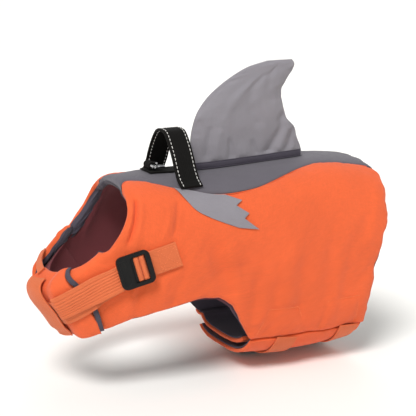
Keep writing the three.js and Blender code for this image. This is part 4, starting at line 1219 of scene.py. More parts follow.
def make_chest():
    rows = lines(85, 1.5, 3)
    columns = lines(172, 1.5, 2.2) * (FLAP_END - FLAP_FROM)

    def texture(u, v, away):
        rim = gathers(away["left"], away["start"], 9, 9, 0.5, 601)
        foot = gathers(away["left"], away["end"], 11, 10, 0.4, 605)
        slack = 0.5 * swell(away["left"] / 26, away["start"] / 30, 610)
        return (rim + foot + slack) * free_of_webbing(u, v)

    edges = {
        "start": (4.0, 0, 1.0),
        "end": (4.0, 0, 1.0),
        "left": (1.8, 0, 1.0),
        "right": (4.0, 1.3, 0.0),
    }
    piece = panel("chest_flap_cloth", rows, columns, flap_spot, flap_out, flap_in, edges, texture)
    dress(piece, "orange", replaces=["chest_flap"], backing="facing")

    def lining_spot(s, t):
        at = mix(LIFT_TO, 2 - FLAP_SEAM + 0.012, t)
        return s * straight(FLAP_FOOT, "v", "u", round_from_spine(at)), -at

    lining = thin_layer(
        "lining_flap_cloth", mix(0.01, 0.99, lines(80, 2.5, 0.6)), lines(130, 2.5, 0.6), lining_spot,
        -FOAM_IN - FLAP_LINING_GAP, LINING, lining_waves(620, 0.3),
    )
    dress(lining, "lining", replaces=["lining_flap"])

    u = np.linspace(0.004, 0.246, 30)
    wedge = np.clip(np.minimum(u / 0.06, (0.246 - u) / 0.07), 0, 1)
    edge_line = {"u": u, "v": -(flap_edge_at(u) - mix(0.006, 0.0165, wedge))}
    binding = strip(
        "flap_edge_binding_cloth", edge_line, BINDING_WIDTH, 70,
        lambda a, b: flap_bed(a, b) + FLAP_LAYER + FLAP_THICK * 0.6,
        lambda a, b: flap_bed(a, b) + FLAP_LAYER,
        texture=lambda t, w, a, b: 0.25 * swell(t * 14, w / 3, 630) * free_of_webbing(a, b),
    )
    dress(binding, "facing", replaces=["flap_edge_binding"])


# Webbing at the neck and chest


def taut_top(u, v):
    """Course of the tight neck strap, straight from the slide up to the flap."""
    past = (np.abs(v) - (flap_edge_at(u) - BINDING_V - TAUT_V)) / TAUT_V
    return mix(skin(u, v), flap_out(u, v), np.clip(past, 0, 1))


def over_strap(u):
    """Rise of the chest keeper where the neck strap passes under it."""
    away = np.abs(u - OVER_STRAP["u"]) - OVER_STRAP["half"]
    return (WEB_THICK + STRAP_GAP) * (1 - ramp(away / OVER_STRAP["fade"]))


def web(node, line, width, steps, ground, height, ribs, rib_depth):
    """Orange webbing along a line, at a height over a ground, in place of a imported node."""
    piece = strip(
        f"{node}_webbing", line, width, steps,
        lambda u, v: ground(u, v) + height + WEB_THICK,
        lambda u, v: ground(u, v) + height,
        ribs=ribs, rib_depth=rib_depth,
    )
    dress(piece, "webbing", replaces=[node])


def make_neck_straps():
    lift = 1.4 * LAYER
    above = lift + WEB_THICK + STRAP_GAP
    web("strap_anchor", ANCHOR_LINE, WEB_WIDTH, 44, near_top, lift, 13, 0.22)
    web("neck_strap_base", BASE_LINE, WEB_WIDTH, 150, near_top, lift, 9, 0.3)
    web("neck_strap", STRAP_LINE, WEB_WIDTH, 80, taut_top, above, 9, 0.6)
    web("chest_keeper", KEEPER_LINE, WEB_WIDTH, 70, lambda u, v: flap_out(u, v) + over_strap(u), lift, 22, 0.12)
    web("chest_bridge", BRIDGE_LINE, BRIDGE_WIDTH, 24, lambda u, v: FOAM_OUT + 0.3 + 0 * u, LAYER, 6, 0.15)
    make_anchor_stitches(lambda u, v: near_top(u, v) + lift + WEB_THICK)


def make_anchor_stitches(top):
    """Box of stitches with a cross that holds the end of the neck strap."""
    share, *rows = strip_course(ANCHOR_LINE, 60)
    inset, first, last = WEB_WIDTH / 2 - 2.6, 0.03, 0.52

    def at(x, w):
        u, v, du, dv = (np.interp(x, share, values) for values in rows)
        return u + du * w, v + dv * w

    corners = [(first, -inset), (last, -inset), (last, inset), (first, inset)]
    ways = ([*corners, corners[0]], [corners[0], corners[2]], [corners[3], corners[1]])
    parts = []
    for k, way in enumerate(ways):
        places = [at(mix(a, b, x), mix(wa, wb, x))
                  for (a, wa), (b, wb) in zip(way, way[1:]) for x in np.linspace(0, 1, 20)]
        path, up = course(*np.transpose(places), lambda u, v: top(u, v) - 0.05, step=0.8)
        parts.append(stitches(f"anchor_stitch_{k}", path, up, stitch=2.2, gap=1.0, radius=0.26))
    dress(join("anchor_stitches", parts), "orange_thread")


def seat_on(u, v, offset, to_u, to_v):
    """Place of a hard piece that lies on the form, its x along the given heading, in metres."""
    u, v = np.float64(u), np.float64(v)
    origin = place(u, v, np.float64(offset))
    up = outward(u, v)
    heading = form(to_u, to_v) - form(u, v)
    heading = unit(heading - up * float(heading @ up))
    side = np.cross(up, heading)
    seat = Matrix.Identity(4)
    for k in range(3):
        seat[k][0], seat[k][1], seat[k][2], seat[k][3] = heading[k], side[k], up[k], origin[k] * MM
    return seat


def slide_seat():
    offset = float(skin(np.float64(SLIDE["u"]), np.float64(SLIDE["v"]))) + LAYER + 2 * (WEB_THICK + STRAP_GAP)
    return seat_on(SLIDE["u"], SLIDE["v"], offset, SLIDE["to_u"], SLIDE["to_v"])


def make_slide_webbing():
    """Webbing folded over the middle bar of the slide, as two ridges."""
    ridge = SLIDE["ridge"]
    profile = []
    for centre in (-ridge, ridge):
        for angle in np.linspace(math.pi, 0, 17):
            height = 0.6 + SLIDE["ridge_height"] * math.sin(angle)
            profile.append((centre + ridge * 0.97 * math.cos(angle), height))
    profile = np.array(profile)
    across = crosswise(WEB_WIDTH, 0.8, 0.8)
    relief = cords(across, 0.12, 1.9)
    end = rounded(np.minimum(across - across[0], across[-1] - across) / 1.2)
    seat = slide_seat()
    outer = np.zeros((len(profile), len(across), 3))
    outer[..., 0] = profile[:, :1] + SLIDE["fold_shift"]
    outer[..., 1] = across[None, :]
    outer[..., 2] = np.maximum(0.05, profile[:, 1:] * (0.35 + 0.65 * end[None, :]) + relief[None, :])
    inner = outer.copy()
    inner[..., 2] = 0
    turn = np.array(seat.to_3x3())
    shift = np.array(seat.translation) / MM
    piece = closed_grid("slide_webbing_fold", outer @ turn.T + shift, inner @ turn.T + shift)
    return dress(piece, "webbing", replaces=["slide_webbing"])


# Hard pieces, modelled with the edit tools


def start_piece():
    if bpy.context.object and bpy.context.object.mode != "OBJECT":
        bpy.ops.object.mode_set(mode="OBJECT")
    bpy.ops.object.select_all(action="DESELECT")


def pick(piece):
    start_piece()
    piece.select_set(True)
    bpy.context.view_layer.objects.active = piece


def block(name, size, location=(0, 0, 0), corner=0.0, segments=6):
    """Block in millimetres with rounded upright corners."""
    start_piece()
    bpy.ops.mesh.primitive_cube_add(size=1, location=[c * MM for c in location])
    piece = bpy.context.object
    piece.name = piece.data.name = name
    piece.scale = [s * MM for s in size]
    bpy.ops.object.transform_apply(location=True, rotation=True, scale=True)
    if corner:
        bpy.ops.object.mode_set(mode="EDIT")
        bpy.ops.mesh.select_mode(type="EDGE")
        bpy.ops.mesh.select_all(action="DESELECT")
        work = bmesh.from_edit_mesh(piece.data)
        for edge in work.edges:
            a, b = edge.verts
            edge.select_set(abs(a.co.z - b.co.z) > 1e-6)
        bmesh.update_edit_mesh(piece.data)
        bpy.ops.mesh.bevel(offset=corner * MM, segments=segments, affect="EDGES")
        bpy.ops.mesh.select_mode(type="VERT")
        bpy.ops.object.mode_set(mode="OBJECT")
    return piece


def apply_modifier(piece, kind, **settings):
    pick(piece)
    made = piece.modifiers.new(kind.lower(), kind)
    for key, value in settings.items():
        setattr(made, key, value)
    bpy.ops.object.modifier_apply(modifier=made.name)


def cut(piece, tool):
    apply_modifier(piece, "BOOLEAN", operation="DIFFERENCE", object=tool, solver="EXACT")
    bpy.data.objects.remove(tool)


def soften(piece, width):
    """Rounds the sharp edges of a hard piece."""
    apply_modifier(piece, "BEVEL", width=width * MM, segments=3, limit_method="ANGLE",
                   angle_limit=math.radians(35), miter_outer="MITER_ARC")
    pick(piece)
    bpy.ops.object.shade_smooth_by_angle(angle=SHARP_ANGLE)


def seat_piece(piece, seat):
    """Moves a finished piece to its seat and applies the move."""
    pick(piece)
    piece.matrix_world = seat
    bpy.ops.object.transform_apply(location=True, rotation=True, scale=True)
    piece.select_set(False)


def make_slide():
    """Three-bar slide of the neck strap; its dark middle bar stands at the slot's left side, partly as painted
    shade of the hollow there.
    """
    long, wide, thick = SLIDE["length"], SLIDE["width"], SLIDE["thick"]
    slot = (SLIDE["slot"], SLIDE["slot_width"], thick * 3)
    slide = block("strap_slide_plastic", (long, wide, thick), (0, 0, thick / 2), SLIDE["radius"], segments=8)
    cut(slide, block("slot_cutter", slot, (SLIDE["slot_shift"], 0, thick / 2), corner=1.6, segments=4))
    cut(slide, block("grip_cutter", (7.5, wide - 9, 1.0), (-11.0, 0, thick + 0.12), corner=2.6))
    soften(slide, 0.75)
    # The middle bar is real, but it is set at the slot's left side as painted shade: a dark piece that fills
    # the shaded hollow of the slot.
    bar = block("slide_bar_and_shade", (3.0, SLIDE["slot_width"] + 1, 1.8), (SLIDE["fold_shift"] - 7.2, 0, 0.9))
    soften(bar, 0.4)
    slide = join("strap_slide_plastic", [slide, bar])
    seat_piece(slide, slide_seat())
    dress(slide, "plastic", replaces=["strap_slide"])


def make_buckle(name, u):
    """Side-release buckle of a belly strap: a socket with side windows and a plug with its strap bar."""
    seat = seat_on(u, -BUCKLE["at"], BELLY["out"] + LAYER, u, -BUCKLE["at"] - 0.02)
    thick, width, socket_long, plug_long = (BUCKLE[key] for key in ("thick", "width", "socket", "plug"))
    middle = thick / 2
    socket = block(f"buckle_socket_{name}_plastic", (socket_long, width, thick),
                   (-socket_long / 2 - GAP / 2, 0, middle), corner=4)
    for side in (-1, 1):
        cut(socket, block("window_cutter", (10, 5, thick * 0.55), (-8.5, side * (width / 2 - 1.2), middle),
                          corner=1.5, segments=4))
    cut(socket, block("strap_cutter", (4.2, WEB_WIDTH + 1, thick * 2), (-socket_long + 6.4, 0, middle),
                      corner=1.2, segments=3))
    cut(socket, block("panel_cutter", (11, width - 15, 1.2), (-9, 0, thick + 0.2), corner=2, segments=5))
    soften(socket, 0.7)
    plug = block(f"buckle_plug_{name}_plastic", (plug_long, width - 5, thick - 1.5),
                 (plug_long / 2 + GAP / 2, 0, 0.7 + (thick - 1.5) / 2), corner=4)
    slot = (3.2, WEB_WIDTH - 1, thick * 2)
    for shift in (8.0, 14.6):
        cut(plug, block("strap_cutter", slot, (shift, 0, middle), corner=1.1, segments=3))
    for k in range(4):
        cut(plug, block("rib_cutter", (0.8, width - 13, 0.9), (1.9 + 1.15 * k, 0, thick - 0.7)))
    soften(plug, 0.4)
    for piece, node in ((socket, f"buckle_socket_{name}"), (plug, f"buckle_plug_{name}")):
        seat_piece(piece, seat)
        dress(piece, "plastic", replaces=[node])


def make_ring():
    """Leash ring: a circle of wire spun and drawn round the outline of a D."""
    half = RING["inside"] / 2 + RING["wire"]
    corner = RING["wire"] * 1.6
    bend = RING["depth"] - half
    start_piece()
    bpy.ops.mesh.primitive_circle_add(vertices=20, radius=RING["wire"] * MM, fill_type="NOTHING",
                                      location=(0, (corner - half) * MM, 0), rotation=(math.pi / 2, 0, 0))
    ring = bpy.context.object
    ring.name = ring.data.name = "leash_ring_wire"
    bpy.ops.object.transform_apply(location=True, rotation=True, scale=True)
    bpy.ops.object.mode_set(mode="EDIT")
    bpy.ops.mesh.select_all(action="SELECT")

    def turn(steps, angle, x, y):
        bpy.ops.mesh.spin(steps=steps, dupli=False, angle=angle, use_auto_merge=False,
                          center=(x * MM, y * MM, 0), axis=(0, 0, 1))

    def draw(x, y):
        bpy.ops.mesh.extrude_region_move(TRANSFORM_OT_translate={"value": (x * MM, y * MM, 0)})

    turn(6, math.pi / 2, corner, corner - half)
    draw(bend - corner, 0)
    turn(40, math.pi, bend, 0)
    draw(corner - bend, 0)
    turn(6, math.pi / 2, corner, half - corner)
    draw(0, 2 * (corner - half))
    bpy.ops.mesh.select_all(action="SELECT")
    bpy.ops.mesh.remove_doubles(threshold=0.02 * MM)
    bpy.ops.mesh.normals_make_consistent(inside=False)
    bpy.ops.object.mode_set(mode="OBJECT")
    bpy.ops.object.shade_smooth()
    tilt = Matrix.Rotation(RING["tilt"], 4, "Y")
    seat_piece(ring, Matrix.Translation((RING["x"] * MM, 0, bar_height() * MM)) @ tilt)
    return dress(ring, "steel", body="leash_ring", replaces=["leash_ring"])


def spine_top(x):
    u = np.float64(spine_u(x))
    return float(place(u, np.float64(0), skin(u, np.float64(0)))[2])


def bar_height():
    return spine_top(RING["x"]) + LAYER + KEEPER["thick"] + GAP + KEEPER["roll"]


# Patches, fin, handle and ring keeper


def make_patch(side, name):
    last = PATCH_ROWS["row"][-1]
    rows = lines(55, 0.9, 0.5) * last
    columns = lines(60, 1.4, 0.5)

    def spot(row, t):
        front = [smooth(PATCH_ROWS, "row", name, row) for name in ("front_u", "front_v")]
        rear = [straight(PATCH_ROWS, "row", name, row) for name in ("rear_u", "rear_v")]
        u, v = (mix(a, b, t) for a, b in zip(front, rear))
        top = ramp(1 - row)
        return u, side * mix(v, np.maximum(v, seam_at(u) + 0.007), np.where(row < 1, top, 0))

    def texture(u, v, away):
        return 0.3 * swell(away["start"] / 12, away["left"] / 17, 700 + side)

    piece = thin_layer(f"patch_{name}_cloth", rows, columns, spot,
                       lambda u, v: skin(u, v) + LAYER + PATCH_THICK, PATCH_THICK, texture, edge=0.5)
    dress(piece, "fin", replaces=[f"patch_{name}"])


def fin_point(row, t, y, side):
    waves = FIN_WAVES * drift(row * 1.7, 860) * ramp((row - 0.8) / 1.2) * ramp((8.6 - row) / 2)
    x = mix(smooth(FIN_ROWS, "row", "front", row), smooth(FIN_ROWS, "row", "rear", row) + waves, t)
    lift = np.maximum(0, 1 - row / 2)
    spine = np.linspace(0, 1, 201)
    top = place(spine, 0 * spine, skin(spine, 0 * spine))
    z = mix(smooth(FIN_ROWS, "row", "z", row), np.interp(x, top[:, 0], top[:, 2]) + FIN_LIFT, lift)
    return np.stack([x, side * y, z], -1)


def fin_fullness(t):
    """Share of the fin's thickness from its front edge to its rear."""
    return np.power(np.maximum(0, 1 - np.abs(2 * t - 1) ** 2.4), 0.7)


def make_fin(side, name):
    last = FIN_ROWS["row"][-1]
    rows = lines(110, 1.2, 1.6) * last
    columns = lines(120, 1.2, 1.6)
    row, t = np.meshgrid(rows, columns, indexing="ij")
    half = smooth(FIN_ROWS, "row", "half", row)
    full = 0.5 + half * fin_fullness(t)
    flat = fin_point(row, t, GAP / 2 + 0 * row, side)
    by_row, by_column = arcs(flat)
    creases = line_depth(FIN_CREASES, side, t, flat[..., 2], ("t", "z", "to_t", "to_z"), (110.0, 1.0))
    edge = np.minimum(by_column, by_column[:, -1:] - by_column)
    seam = gathers(by_row, edge, 8, 9, 0.9, 800 + side)
    foot = gathers(by_column, by_row, 9, 16, 1.5, 810 + side)
    slack = 0.9 * swell(by_column / 30, by_row / 26, 820 + side)
    slack = slack + 0.4 * swell(by_column / 12, by_row / 14, 823 + side)
    fade = ramp(edge / 4) * ramp((by_row[-1:] - by_row) / 5) * ramp((by_row - 6.5) / 5)
    body = full + (creases + seam + foot + slack) * fade
    outer = fin_point(row, t, GAP / 2 + np.maximum(0.3, body), side)
    piece = closed_grid(f"fin_{name}_cloth", outer, flat)
    return dress(piece, "fin", replaces=[f"fin_{name}"])


def make_fin_band(side, name):
    t = lines(132, 1.4, 0.6)
    x = t * (FIN_BAND["to"] - FIN_BAND["from"]) + FIN_BAND["from"]
    base_y = 0.5 + FIN_ROWS["half"][1] * fin_fullness(t) + GAP + FIN_BAND["clear"]
    foot = back_height(x, side * (base_y + FIN_BAND["thick"])) + FIN_LIFT
    up = lines(FIN_BAND["height"], 0.6, 0.5) * FIN_BAND["height"]
    rim = rounded(np.minimum(up, FIN_BAND["height"] - up) / 0.8)
    wave = 0.22 * swell(x[:, None] / 9, up[None, :] / 5, 840 + side)
    seams = sum(np.exp(-((up[None, :] - FIN_BAND["height"] * share) / 0.5) ** 2) for share in (0.16, 0.84))

    def face(thick, relief):
        y = base_y[:, None] + thick + relief
        z = foot[:, None] + up[None, :]
        return np.stack(np.broadcast_arrays(x[:, None], side * y, z), -1)

    outer = face(FIN_BAND["thick"] * (0.5 + 0.5 * rim[None, :]), wave - 0.5 * seams)
    piece = closed_grid(f"fin_band_{name}_cloth", outer, face(FIN_BAND["thick"] * 0.5 * (1 - rim[None, :]), 0))
    dress(piece, "facing", replaces=[f"fin_band_{name}"])


def handle_course():
    """Centre line of the handle's lower face from its near foot to its far one."""
    feet = []
    for y in (HANDLE["foot"], HANDLE["foot"] - 4, HANDLE["foot"] - 8):
        height = max(float(back_height(HANDLE["x"] + k * WEB_WIDTH / 2, y)) for k in (-1, 0, 1))
        feet.append((y, height + HANDLE["lift"]))
    half = feet + list(HANDLE_ARCH)
    points = np.array([(-y, z) for y, z in half] + [(y, z) for y, z in reversed(half)], float)
    arc = lengths_along(points)
    rows = {"arc": arc, "y": points[:, 0], "z": points[:, 1]}
    at = lines(arc[-1], 1.1, 0.8) * arc[-1]
    return np.stack([smooth(rows, "arc", "y", at), smooth(rows, "arc", "z", at)], -1)


def make_handle():
    line = handle_course()
    heading = unit(np.gradient(line, axis=0))
    normal = np.stack([-heading[:, 1], heading[:, 0]], -1)
    w = crosswise(WEB_WIDTH, 0.7, 1.2)
    rim = rounded((WEB_WIDTH / 2 - np.abs(w)) / 1.3)
    ribs = cords(w) * rim
    seam = WEB_WIDTH / 2 - 3.0
    groove = -0.25 * np.exp(-((np.abs(w) - seam) / 0.7) ** 2)

    def face(lift):
        p = line[:, None, :] + normal[:, None, :] * lift[None, :, None]
        return np.stack([np.broadcast_to(HANDLE["x"] + w, p.shape[:2]), p[..., 0], p[..., 1]], -1)

    thick = HANDLE["thick"]
    handle = closed_grid("handle_webbing", face(thick * (0.5 + 0.5 * rim) + ribs + groove),
                         face(thick * 0.5 * (1 - rim) - ribs * 0.5))
    dress(handle, "black_webbing", replaces=["handle"])
    parts = []
    shown = slice(4, len(line) - 4)
    for k, x in enumerate((-seam, seam)):
        for lift, turn in ((thick + 0.02, 1), (-0.02, -1)):
            ends = np.full(len(line), HANDLE["x"] + x), np.zeros(len(line))
            path = np.column_stack([ends[0], line + normal * lift])[shown]
            up = np.column_stack([ends[1], normal * turn])[shown]
            parts.append(stitches(f"handle_stitch_{k}_{turn}", path, up, stitch=2.9, gap=1.5, radius=0.38))
    dress(join("handle_stitches", parts), "thread")


def make_ring_base():
    long, thick = KEEPER["to"] - KEEPER["from"], KEEPER["thick"]
    x = lines(long, 1.4, 0.8) * long + KEEPER["from"]
    y = crosswise(KEEPER["width"], 0.8, 0.8)
    xx, yy = np.meshgrid(x, y, indexing="ij")
    u, v = on_back(xx, yy)
    edge = np.minimum(KEEPER["width"] / 2 - np.abs(yy), np.minimum(xx - x[0], x[-1] - xx))
    rim = rounded(edge / 0.8)
    relief = cords(yy) * rim
    base = skin(u, v) + LAYER
    piece = closed_grid("ring_base_webbing", place(u, v, base + thick * (0.5 + 0.5 * rim) + relief),
                        place(u, v, base + thick * 0.5 * (1 - rim)))
    dress(piece, "black_webbing", replaces=["ring_base"])


def make_ring_keeper():
    """Webbing rolled round the ring's straight bar."""
    height = bar_height()
    inner = KEEPER["roll"] - KEEPER["roll_thick"]
    angle = np.radians(np.linspace(-60, 300, 41))
    wobble = 1 + 0.02 * np.sin(3 * angle)
    profile = np.column_stack([np.cos(angle) * wobble, np.sin(angle) * wobble])
    y = crosswise(KEEPER["roll_width"], 0.8, 0.9)
    rim = rounded((KEEPER["roll_width"] / 2 - np.abs(y)) / 1.1)
    relief = cords(y) * rim

    def face(radius):
        p = profile[:, None, :] * radius[None, :, None]
        grid = np.zeros((len(profile), len(y), 3))
        grid[..., 0] = RING["x"] + p[..., 0]
        grid[..., 1] = y[None, :]
        grid[..., 2] = height + p[..., 1]
        return grid

    middle = (KEEPER["roll"] + inner) / 2
    piece = closed_grid("ring_keeper_webbing", face(middle + (KEEPER["roll"] - middle) * rim + relief),
                        face(middle - (middle - inner) * rim))
    dress(piece, "black_webbing", replaces=["ring_keeper"])


# Belly


def hem_at(u):
    return straight(LEG_EDGE, "u", "v", u)


def inner_dip(v):
    """Depth of the inner flap, which lies lower where the outer one covers it."""
    return BELLY["dip"] * ramp((2 - BELLY["dip_v"] - np.abs(v)) / BELLY["dip_fade"])


def belly_top(u, v):
    return BELLY["out"] + 0 * u


def make_belly():
    rows = mix(0.693, 0.996, lines(92, 1.7, 2.2))
    columns = lines(130, 1.7, 2.2)

    def outer_spot(s, t):
        return s, -mix(hem_at(s) + 2 * SEAM_V, BELLY["outer_end"], t)

    def inner_spot(s, t):
        return s, -mix(2 - hem_at(s) - 2 * SEAM_V, BELLY["inner_end"], t)

    edges = {"start": (2.4, 0, 1.0), "end": (2.6, 0, 1.0), "left": (2.0, 0.7, 0.0), "right": (2.4, 0, 1.0)}

    def texture(seed):
        def relief(u, v, away):
            return (gathers(away["left"], away["start"], 9, 7, 0.35, seed)
                    + gathers(away["left"], away["end"], 12, 9, 0.7, seed + 3)
                    + gathers(away["start"], away["left"], 9, 8, 0.4, seed + 6)
                    + 0.35 * swell(away["start"] / 24, away["left"] / 28, seed + 9))
        return relief

    thick = BELLY["thick"]
    outer = panel("belly_outer_cloth", rows, columns, outer_spot, belly_top,
                  lambda u, v: BELLY["out"] - thick + 0 * u, edges, texture(900))
    dress(outer, "orange", replaces=["belly_flap_outer"])
    inner = panel("belly_inner_cloth", rows, columns, inner_spot, lambda u, v: BELLY["out"] - inner_dip(v),
                  lambda u, v: BELLY["out"] - thick - inner_dip(v), edges, texture(930))
    dress(inner, "orange", replaces=["belly_flap_inner"])
    lining_rows = mix(0.696, 0.993, lines(90, 2.6, 0.5))
    under = BELLY["out"] - thick - GAP
    covers = (
        ("outer", 125, 0.175, outer_spot, lambda u, v: under + 0 * u),
        ("inner", 128, 0.165, inner_spot, lambda u, v: under - inner_dip(v)),
    )
    for name, across, length, spot, top in covers:
        piece = thin_layer(
            f"lining_belly_{name}_cloth", lining_rows, mix(0.01, 0.985, lines(across, 2.6, 0.5)), spot, top,
            LINING, lining_waves(950, 0.25), edge=0.5,
        )
        dress(piece, "lining", replaces=[f"lining_belly_{name}"])
    lengths = (
        ("near", BELLY["strap_from"], BUCKLE["near_end"]),
        ("far", BUCKLE["far_end"], BELLY["strap_to"]),
    )
    for name, u in (("front", BELLY["front_strap"]), ("rear", BELLY["rear_strap"])):
        for end, start, stop in lengths:
            line = {"u": np.full(7, u), "v": -np.linspace(start, stop, 7)}
            steps = 60 if end == "near" else 20
            web(f"belly_strap_{name}_{end}", line, WEB_WIDTH, steps, belly_top, LAYER, 12, 0.15)


# Stage

CAMERA_AT = (-0.6941, -1.3023, 0.3030)
CAMERA_AIM = (-0.0305, 0.0, -0.0345)
CAMERA_LENS = 122.1
FLOOR_SIZE = 90
KEY_HEADING = (0.55, 0.55, -0.95)
RIM_AT = (0.9, 1.6, 1.3)
RIM_AIM = (-0.03, 0, -0.05)
RIM_SIZE = 1.2


def make_camera():
    data = bpy.data.cameras.new("photo_camera")
    data.lens, data.sensor_width = CAMERA_LENS, 36.0
    data.clip_start, data.clip_end = 0.05, 50
    camera = bpy.data.objects.new("photo_camera", data)
    bpy.context.scene.collection.objects.link(camera)
    camera.location = CAMERA_AT
    aim = Vector(CAMERA_AIM) - Vector(CAMERA_AT)
    camera.rotation_euler = aim.to_track_quat("-Z", "Y").to_euler()
    bpy.context.scene.camera = camera


def make_light(name, kind, heading, location=(0, 0, 0), **settings):
    data = bpy.data.lights.new(name, kind)
    for key, value in settings.items():
        setattr(data, key, value)
    light = bpy.data.objects.new(name, data)
    bpy.context.scene.collection.objects.link(light)
    light.location = location
    light.rotation_euler = Vector(heading).to_track_quat("-Z", "Y").to_euler()


def make_floor(looks, z):
    start_piece()
    bpy.ops.mesh.primitive_plane_add(size=FLOOR_SIZE, location=(0, 0, z))
    floor = bpy.context.object
    floor.name = "studio_floor"
    paper = Finish("studio_paper", linear(looks.floor), 0.95, Specular_IOR_Level=0.1)
    paper.tint(paper.noise(0.5, detail=2), 0.99, 1.0)
    floor.data.materials.append(paper.material)
    floor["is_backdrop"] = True


def make_room(looks):
    """Even light of a pale room: bright near the floor and softer above."""
    world = bpy.data.worlds.new("studio")
    bpy.context.scene.world = world
    world.use_nodes = True
    tree = world.node_tree
    back = tree.nodes["Background"]
    way = tree.nodes.new("ShaderNodeTexCoord")
    axes = tree.nodes.new("ShaderNodeSeparateXYZ")
    height = tree.nodes.new("ShaderNodeMapRange")
    tone = tree.nodes.new("ShaderNodeMix")
    tone.data_type = "RGBA"
    height.inputs["From Min"].default_value = 0.05
    height.inputs["From Max"].default_value = 0.3
    tone.inputs[MIX_A].default_value = (1.0, 1.0, 0.99, 1)
    tone.inputs[MIX_B].default_value = (looks.world, looks.world, looks.world * 0.99, 1)
    tree.links.new(way.outputs["Generated"], axes.inputs["Vector"])
    tree.links.new(axes.outputs["Z"], height.inputs["Value"])
    tree.links.new(height.outputs["Result"], tone.inputs[0])
    tree.links.new(tone.outputs[MIX_COLOUR], back.inputs["Color"])


def make_stage(looks):
    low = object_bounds()[0]
    make_floor(looks, low.z - 0.002)
    make_room(looks)
    make_light("soft_key", "SUN", KEY_HEADING, energy=looks.key, angle=math.radians(looks.softness))
    heading = Vector(RIM_AIM) - Vector(RIM_AT)
    make_light("rim", "AREA", heading, RIM_AT, shape="SQUARE", size=RIM_SIZE, energy=looks.rim)
    view = bpy.context.scene.view_settings
    view.view_transform = "Standard"
    view.exposure = 0.0


# Settings, operators and the sidebar


class JacketColours(bpy.types.PropertyGroup):
    orange: bpy.props.FloatVectorProperty(
        name="Orange cloth", description="Outer cloth of the sides, chest and belly",
        subtype="COLOR", size=3, default=(0.9, 0.385, 0.2),
    )
    webbing: bpy.props.FloatVectorProperty(
        name="Orange webbing", description="Neck, chest and belly webbing",
        subtype="COLOR", size=3, default=(0.86, 0.43, 0.25),
    )
    back: bpy.props.FloatVectorProperty(
        name="Back cloth", description="Dark grey cloth of the back",
        subtype="COLOR", size=3, default=(0.38, 0.365, 0.395),
    )
    fin: bpy.props.FloatVectorProperty(
        name="Fin cloth", description="Light grey cloth of the fin and patches",
        subtype="COLOR", size=3, default=(0.545, 0.53, 0.555),
    )
    facing: bpy.props.FloatVectorProperty(
        name="Facing cloth", description="Dark grey facing, binding and fin band",
        subtype="COLOR", size=3, default=(0.275, 0.255, 0.3),
    )
    lining: bpy.props.FloatVectorProperty(
        name="Lining", description="Dark lining",
        subtype="COLOR", size=3, default=(0.31, 0.28, 0.33),
    )
    # Painted light: the red of light that comes through the orange cloth, painted into the lining towards the
    # neck.
    lining_lit_through: bpy.props.FloatVectorProperty(
        name="Lining at the neck", description="Warmer tone of the lining behind the orange cloth",
        subtype="COLOR", size=3, default=(0.45, 0.2, 0.22),
    )
    black: bpy.props.FloatVectorProperty(
        name="Black webbing", description="Handle and ring keeper",
        subtype="COLOR", size=3, default=(0.075, 0.07, 0.065),
    )
    plastic: bpy.props.FloatVectorProperty(
        name="Black plastic", description="Slide and buckles",
        subtype="COLOR", size=3, default=(0.035, 0.033, 0.031),
    )
    floor: bpy.props.FloatVectorProperty(
        name="Floor", description="Pale studio floor",
        subtype="COLOR", size=3, default=(0.97, 0.965, 0.95),
    )
    world: bpy.props.FloatProperty(
        name="Room light", description="Strength of the even light from above",
        default=0.5, min=0,
    )
    key: bpy.props.FloatProperty(
        name="Key light", description="Strength of the soft light from the front left",
        default=2.6, min=0,
    )
    softness: bpy.props.FloatProperty(
        name="Softness", description="Width of the key light in degrees",
        default=22, min=0, max=90,
    )
    rim: bpy.props.FloatProperty(
        name="Rim light", description="Soft light from behind",
        default=8, min=0, unit="POWER",
    )


def looks():
    return bpy.context.scene.jacket_colours


def finishes():
    if not MATERIALS:
        MATERIALS.update(make_materials(looks()))


class JACKET_OT_camera(bpy.types.Operator):
    """Adds the camera at the photograph's angle."""
    bl_idname = "jacket.camera"
    bl_label = "Camera"

    def execute(self, context):
        make_camera()
        return {"FINISHED"}


class JACKET_OT_body(bpy.types.Operator):
    """Makes the back panel, the side panels and the piping between them."""
    bl_idname = "jacket.body"
    bl_label = "Back and sides"

    def execute(self, context):
        finishes()
        make_back()
        make_side(-1, "left", 101)
        make_side(1, "right", 151)
        make_piping()
        make_box_stitches()
        return {"FINISHED"}


class JACKET_OT_linings(bpy.types.Operator):
    """Makes the linings and the neck facing."""
    bl_idname = "jacket.linings"
    bl_label = "Linings"

    def execute(self, context):
        finishes()
        make_linings()
        make_facing()
        return {"FINISHED"}


class JACKET_OT_chest(bpy.types.Operator):
    """Makes the chest flap with its lining and binding."""
    bl_idname = "jacket.chest"
    bl_label = "Chest flap"

    def execute(self, context):
        finishes()
        make_chest()
        return {"FINISHED"}


class JACKET_OT_neck_straps(bpy.types.Operator):
    """Makes the webbing at the neck and chest."""
    bl_idname = "jacket.neck_straps"
    bl_label = "Neck straps"

    def execute(self, context):
        finishes()
        make_neck_straps()
        make_slide_webbing()
        return {"FINISHED"}


class JACKET_OT_slide(bpy.types.Operator):
    """Makes the plastic slide of the neck strap."""
    bl_idname = "jacket.slide"
    bl_label = "Strap slide"

    def execute(self, context):
        finishes()
        make_slide()
        return {"FINISHED"}


class JACKET_OT_patches(bpy.types.Operator):
    """Makes the grey side patches."""
    bl_idname = "jacket.patches"
    bl_label = "Side patches"

    def execute(self, context):
        finishes()
        make_patch(-1, "left")
        make_patch(1, "right")
        return {"FINISHED"}


class JACKET_OT_fin(bpy.types.Operator):
    """Makes the stuffed fin and the bands at its foot."""
    bl_idname = "jacket.fin"
    bl_label = "Fin"

    def execute(self, context):
        finishes()
        for side, name in ((-1, "left"), (1, "right")):
            make_fin(side, name)
            make_fin_band(side, name)
        return {"FINISHED"}


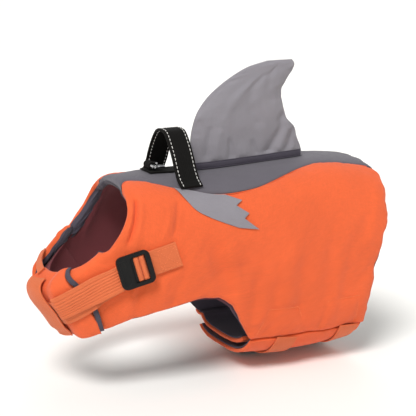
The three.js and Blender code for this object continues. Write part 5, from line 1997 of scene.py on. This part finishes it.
class JACKET_OT_handle(bpy.types.Operator):
    """Makes the grab handle and its stitching."""
    bl_idname = "jacket.handle"
    bl_label = "Grab handle"

    def execute(self, context):
        finishes()
        make_handle()
        return {"FINISHED"}


class JACKET_OT_ring(bpy.types.Operator):
    """Makes the leash ring with its keeper and base."""
    bl_idname = "jacket.ring"
    bl_label = "Leash ring"

    def execute(self, context):
        finishes()
        make_ring_base()
        make_ring_keeper()
        make_ring()
        return {"FINISHED"}


class JACKET_OT_belly(bpy.types.Operator):
    """Makes the belly flaps with their linings and straps."""
    bl_idname = "jacket.belly"
    bl_label = "Belly flaps"

    def execute(self, context):
        finishes()
        make_belly()
        return {"FINISHED"}


class JACKET_OT_buckles(bpy.types.Operator):
    """Makes the side-release buckles of the belly straps."""
    bl_idname = "jacket.buckles"
    bl_label = "Belly buckles"

    def execute(self, context):
        finishes()
        make_buckle("front", BELLY["front_strap"])
        make_buckle("rear", BELLY["rear_strap"])
        return {"FINISHED"}


class JACKET_OT_stage(bpy.types.Operator):
    """Makes the pale floor and the studio light."""
    bl_idname = "jacket.stage"
    bl_label = "Studio"

    def execute(self, context):
        make_stage(looks())
        return {"FINISHED"}


STEPS = (
    JACKET_OT_camera, JACKET_OT_body, JACKET_OT_linings, JACKET_OT_chest, JACKET_OT_neck_straps,
    JACKET_OT_slide, JACKET_OT_patches, JACKET_OT_fin, JACKET_OT_handle, JACKET_OT_ring,
    JACKET_OT_belly, JACKET_OT_buckles, JACKET_OT_stage,
)


class JACKET_PT_panel(bpy.types.Panel):
    """Lists the steps and colours of the jacket."""
    bl_idname = "JACKET_PT_panel"
    bl_label = "Dog life jacket"
    bl_space_type = "VIEW_3D"
    bl_region_type = "UI"
    bl_category = "Jacket"

    def draw(self, context):
        for step in STEPS:
            self.layout.operator(step.bl_idname)
        for name in JacketColours.__annotations__:
            self.layout.prop(context.scene.jacket_colours, name)


CLASSES = (JacketColours, *STEPS, JACKET_PT_panel)


def register():
    for cls in CLASSES:
        bpy.utils.register_class(cls)
    bpy.types.Scene.jacket_colours = bpy.props.PointerProperty(type=JacketColours)


def unregister():
    del bpy.types.Scene.jacket_colours
    for cls in reversed(CLASSES):
        bpy.utils.unregister_class(cls)


def main():
    register()
    for step in STEPS:
        group, name = step.bl_idname.split(".")
        getattr(getattr(bpy.ops, group), name)()


if __name__ == "__main__":
    main()
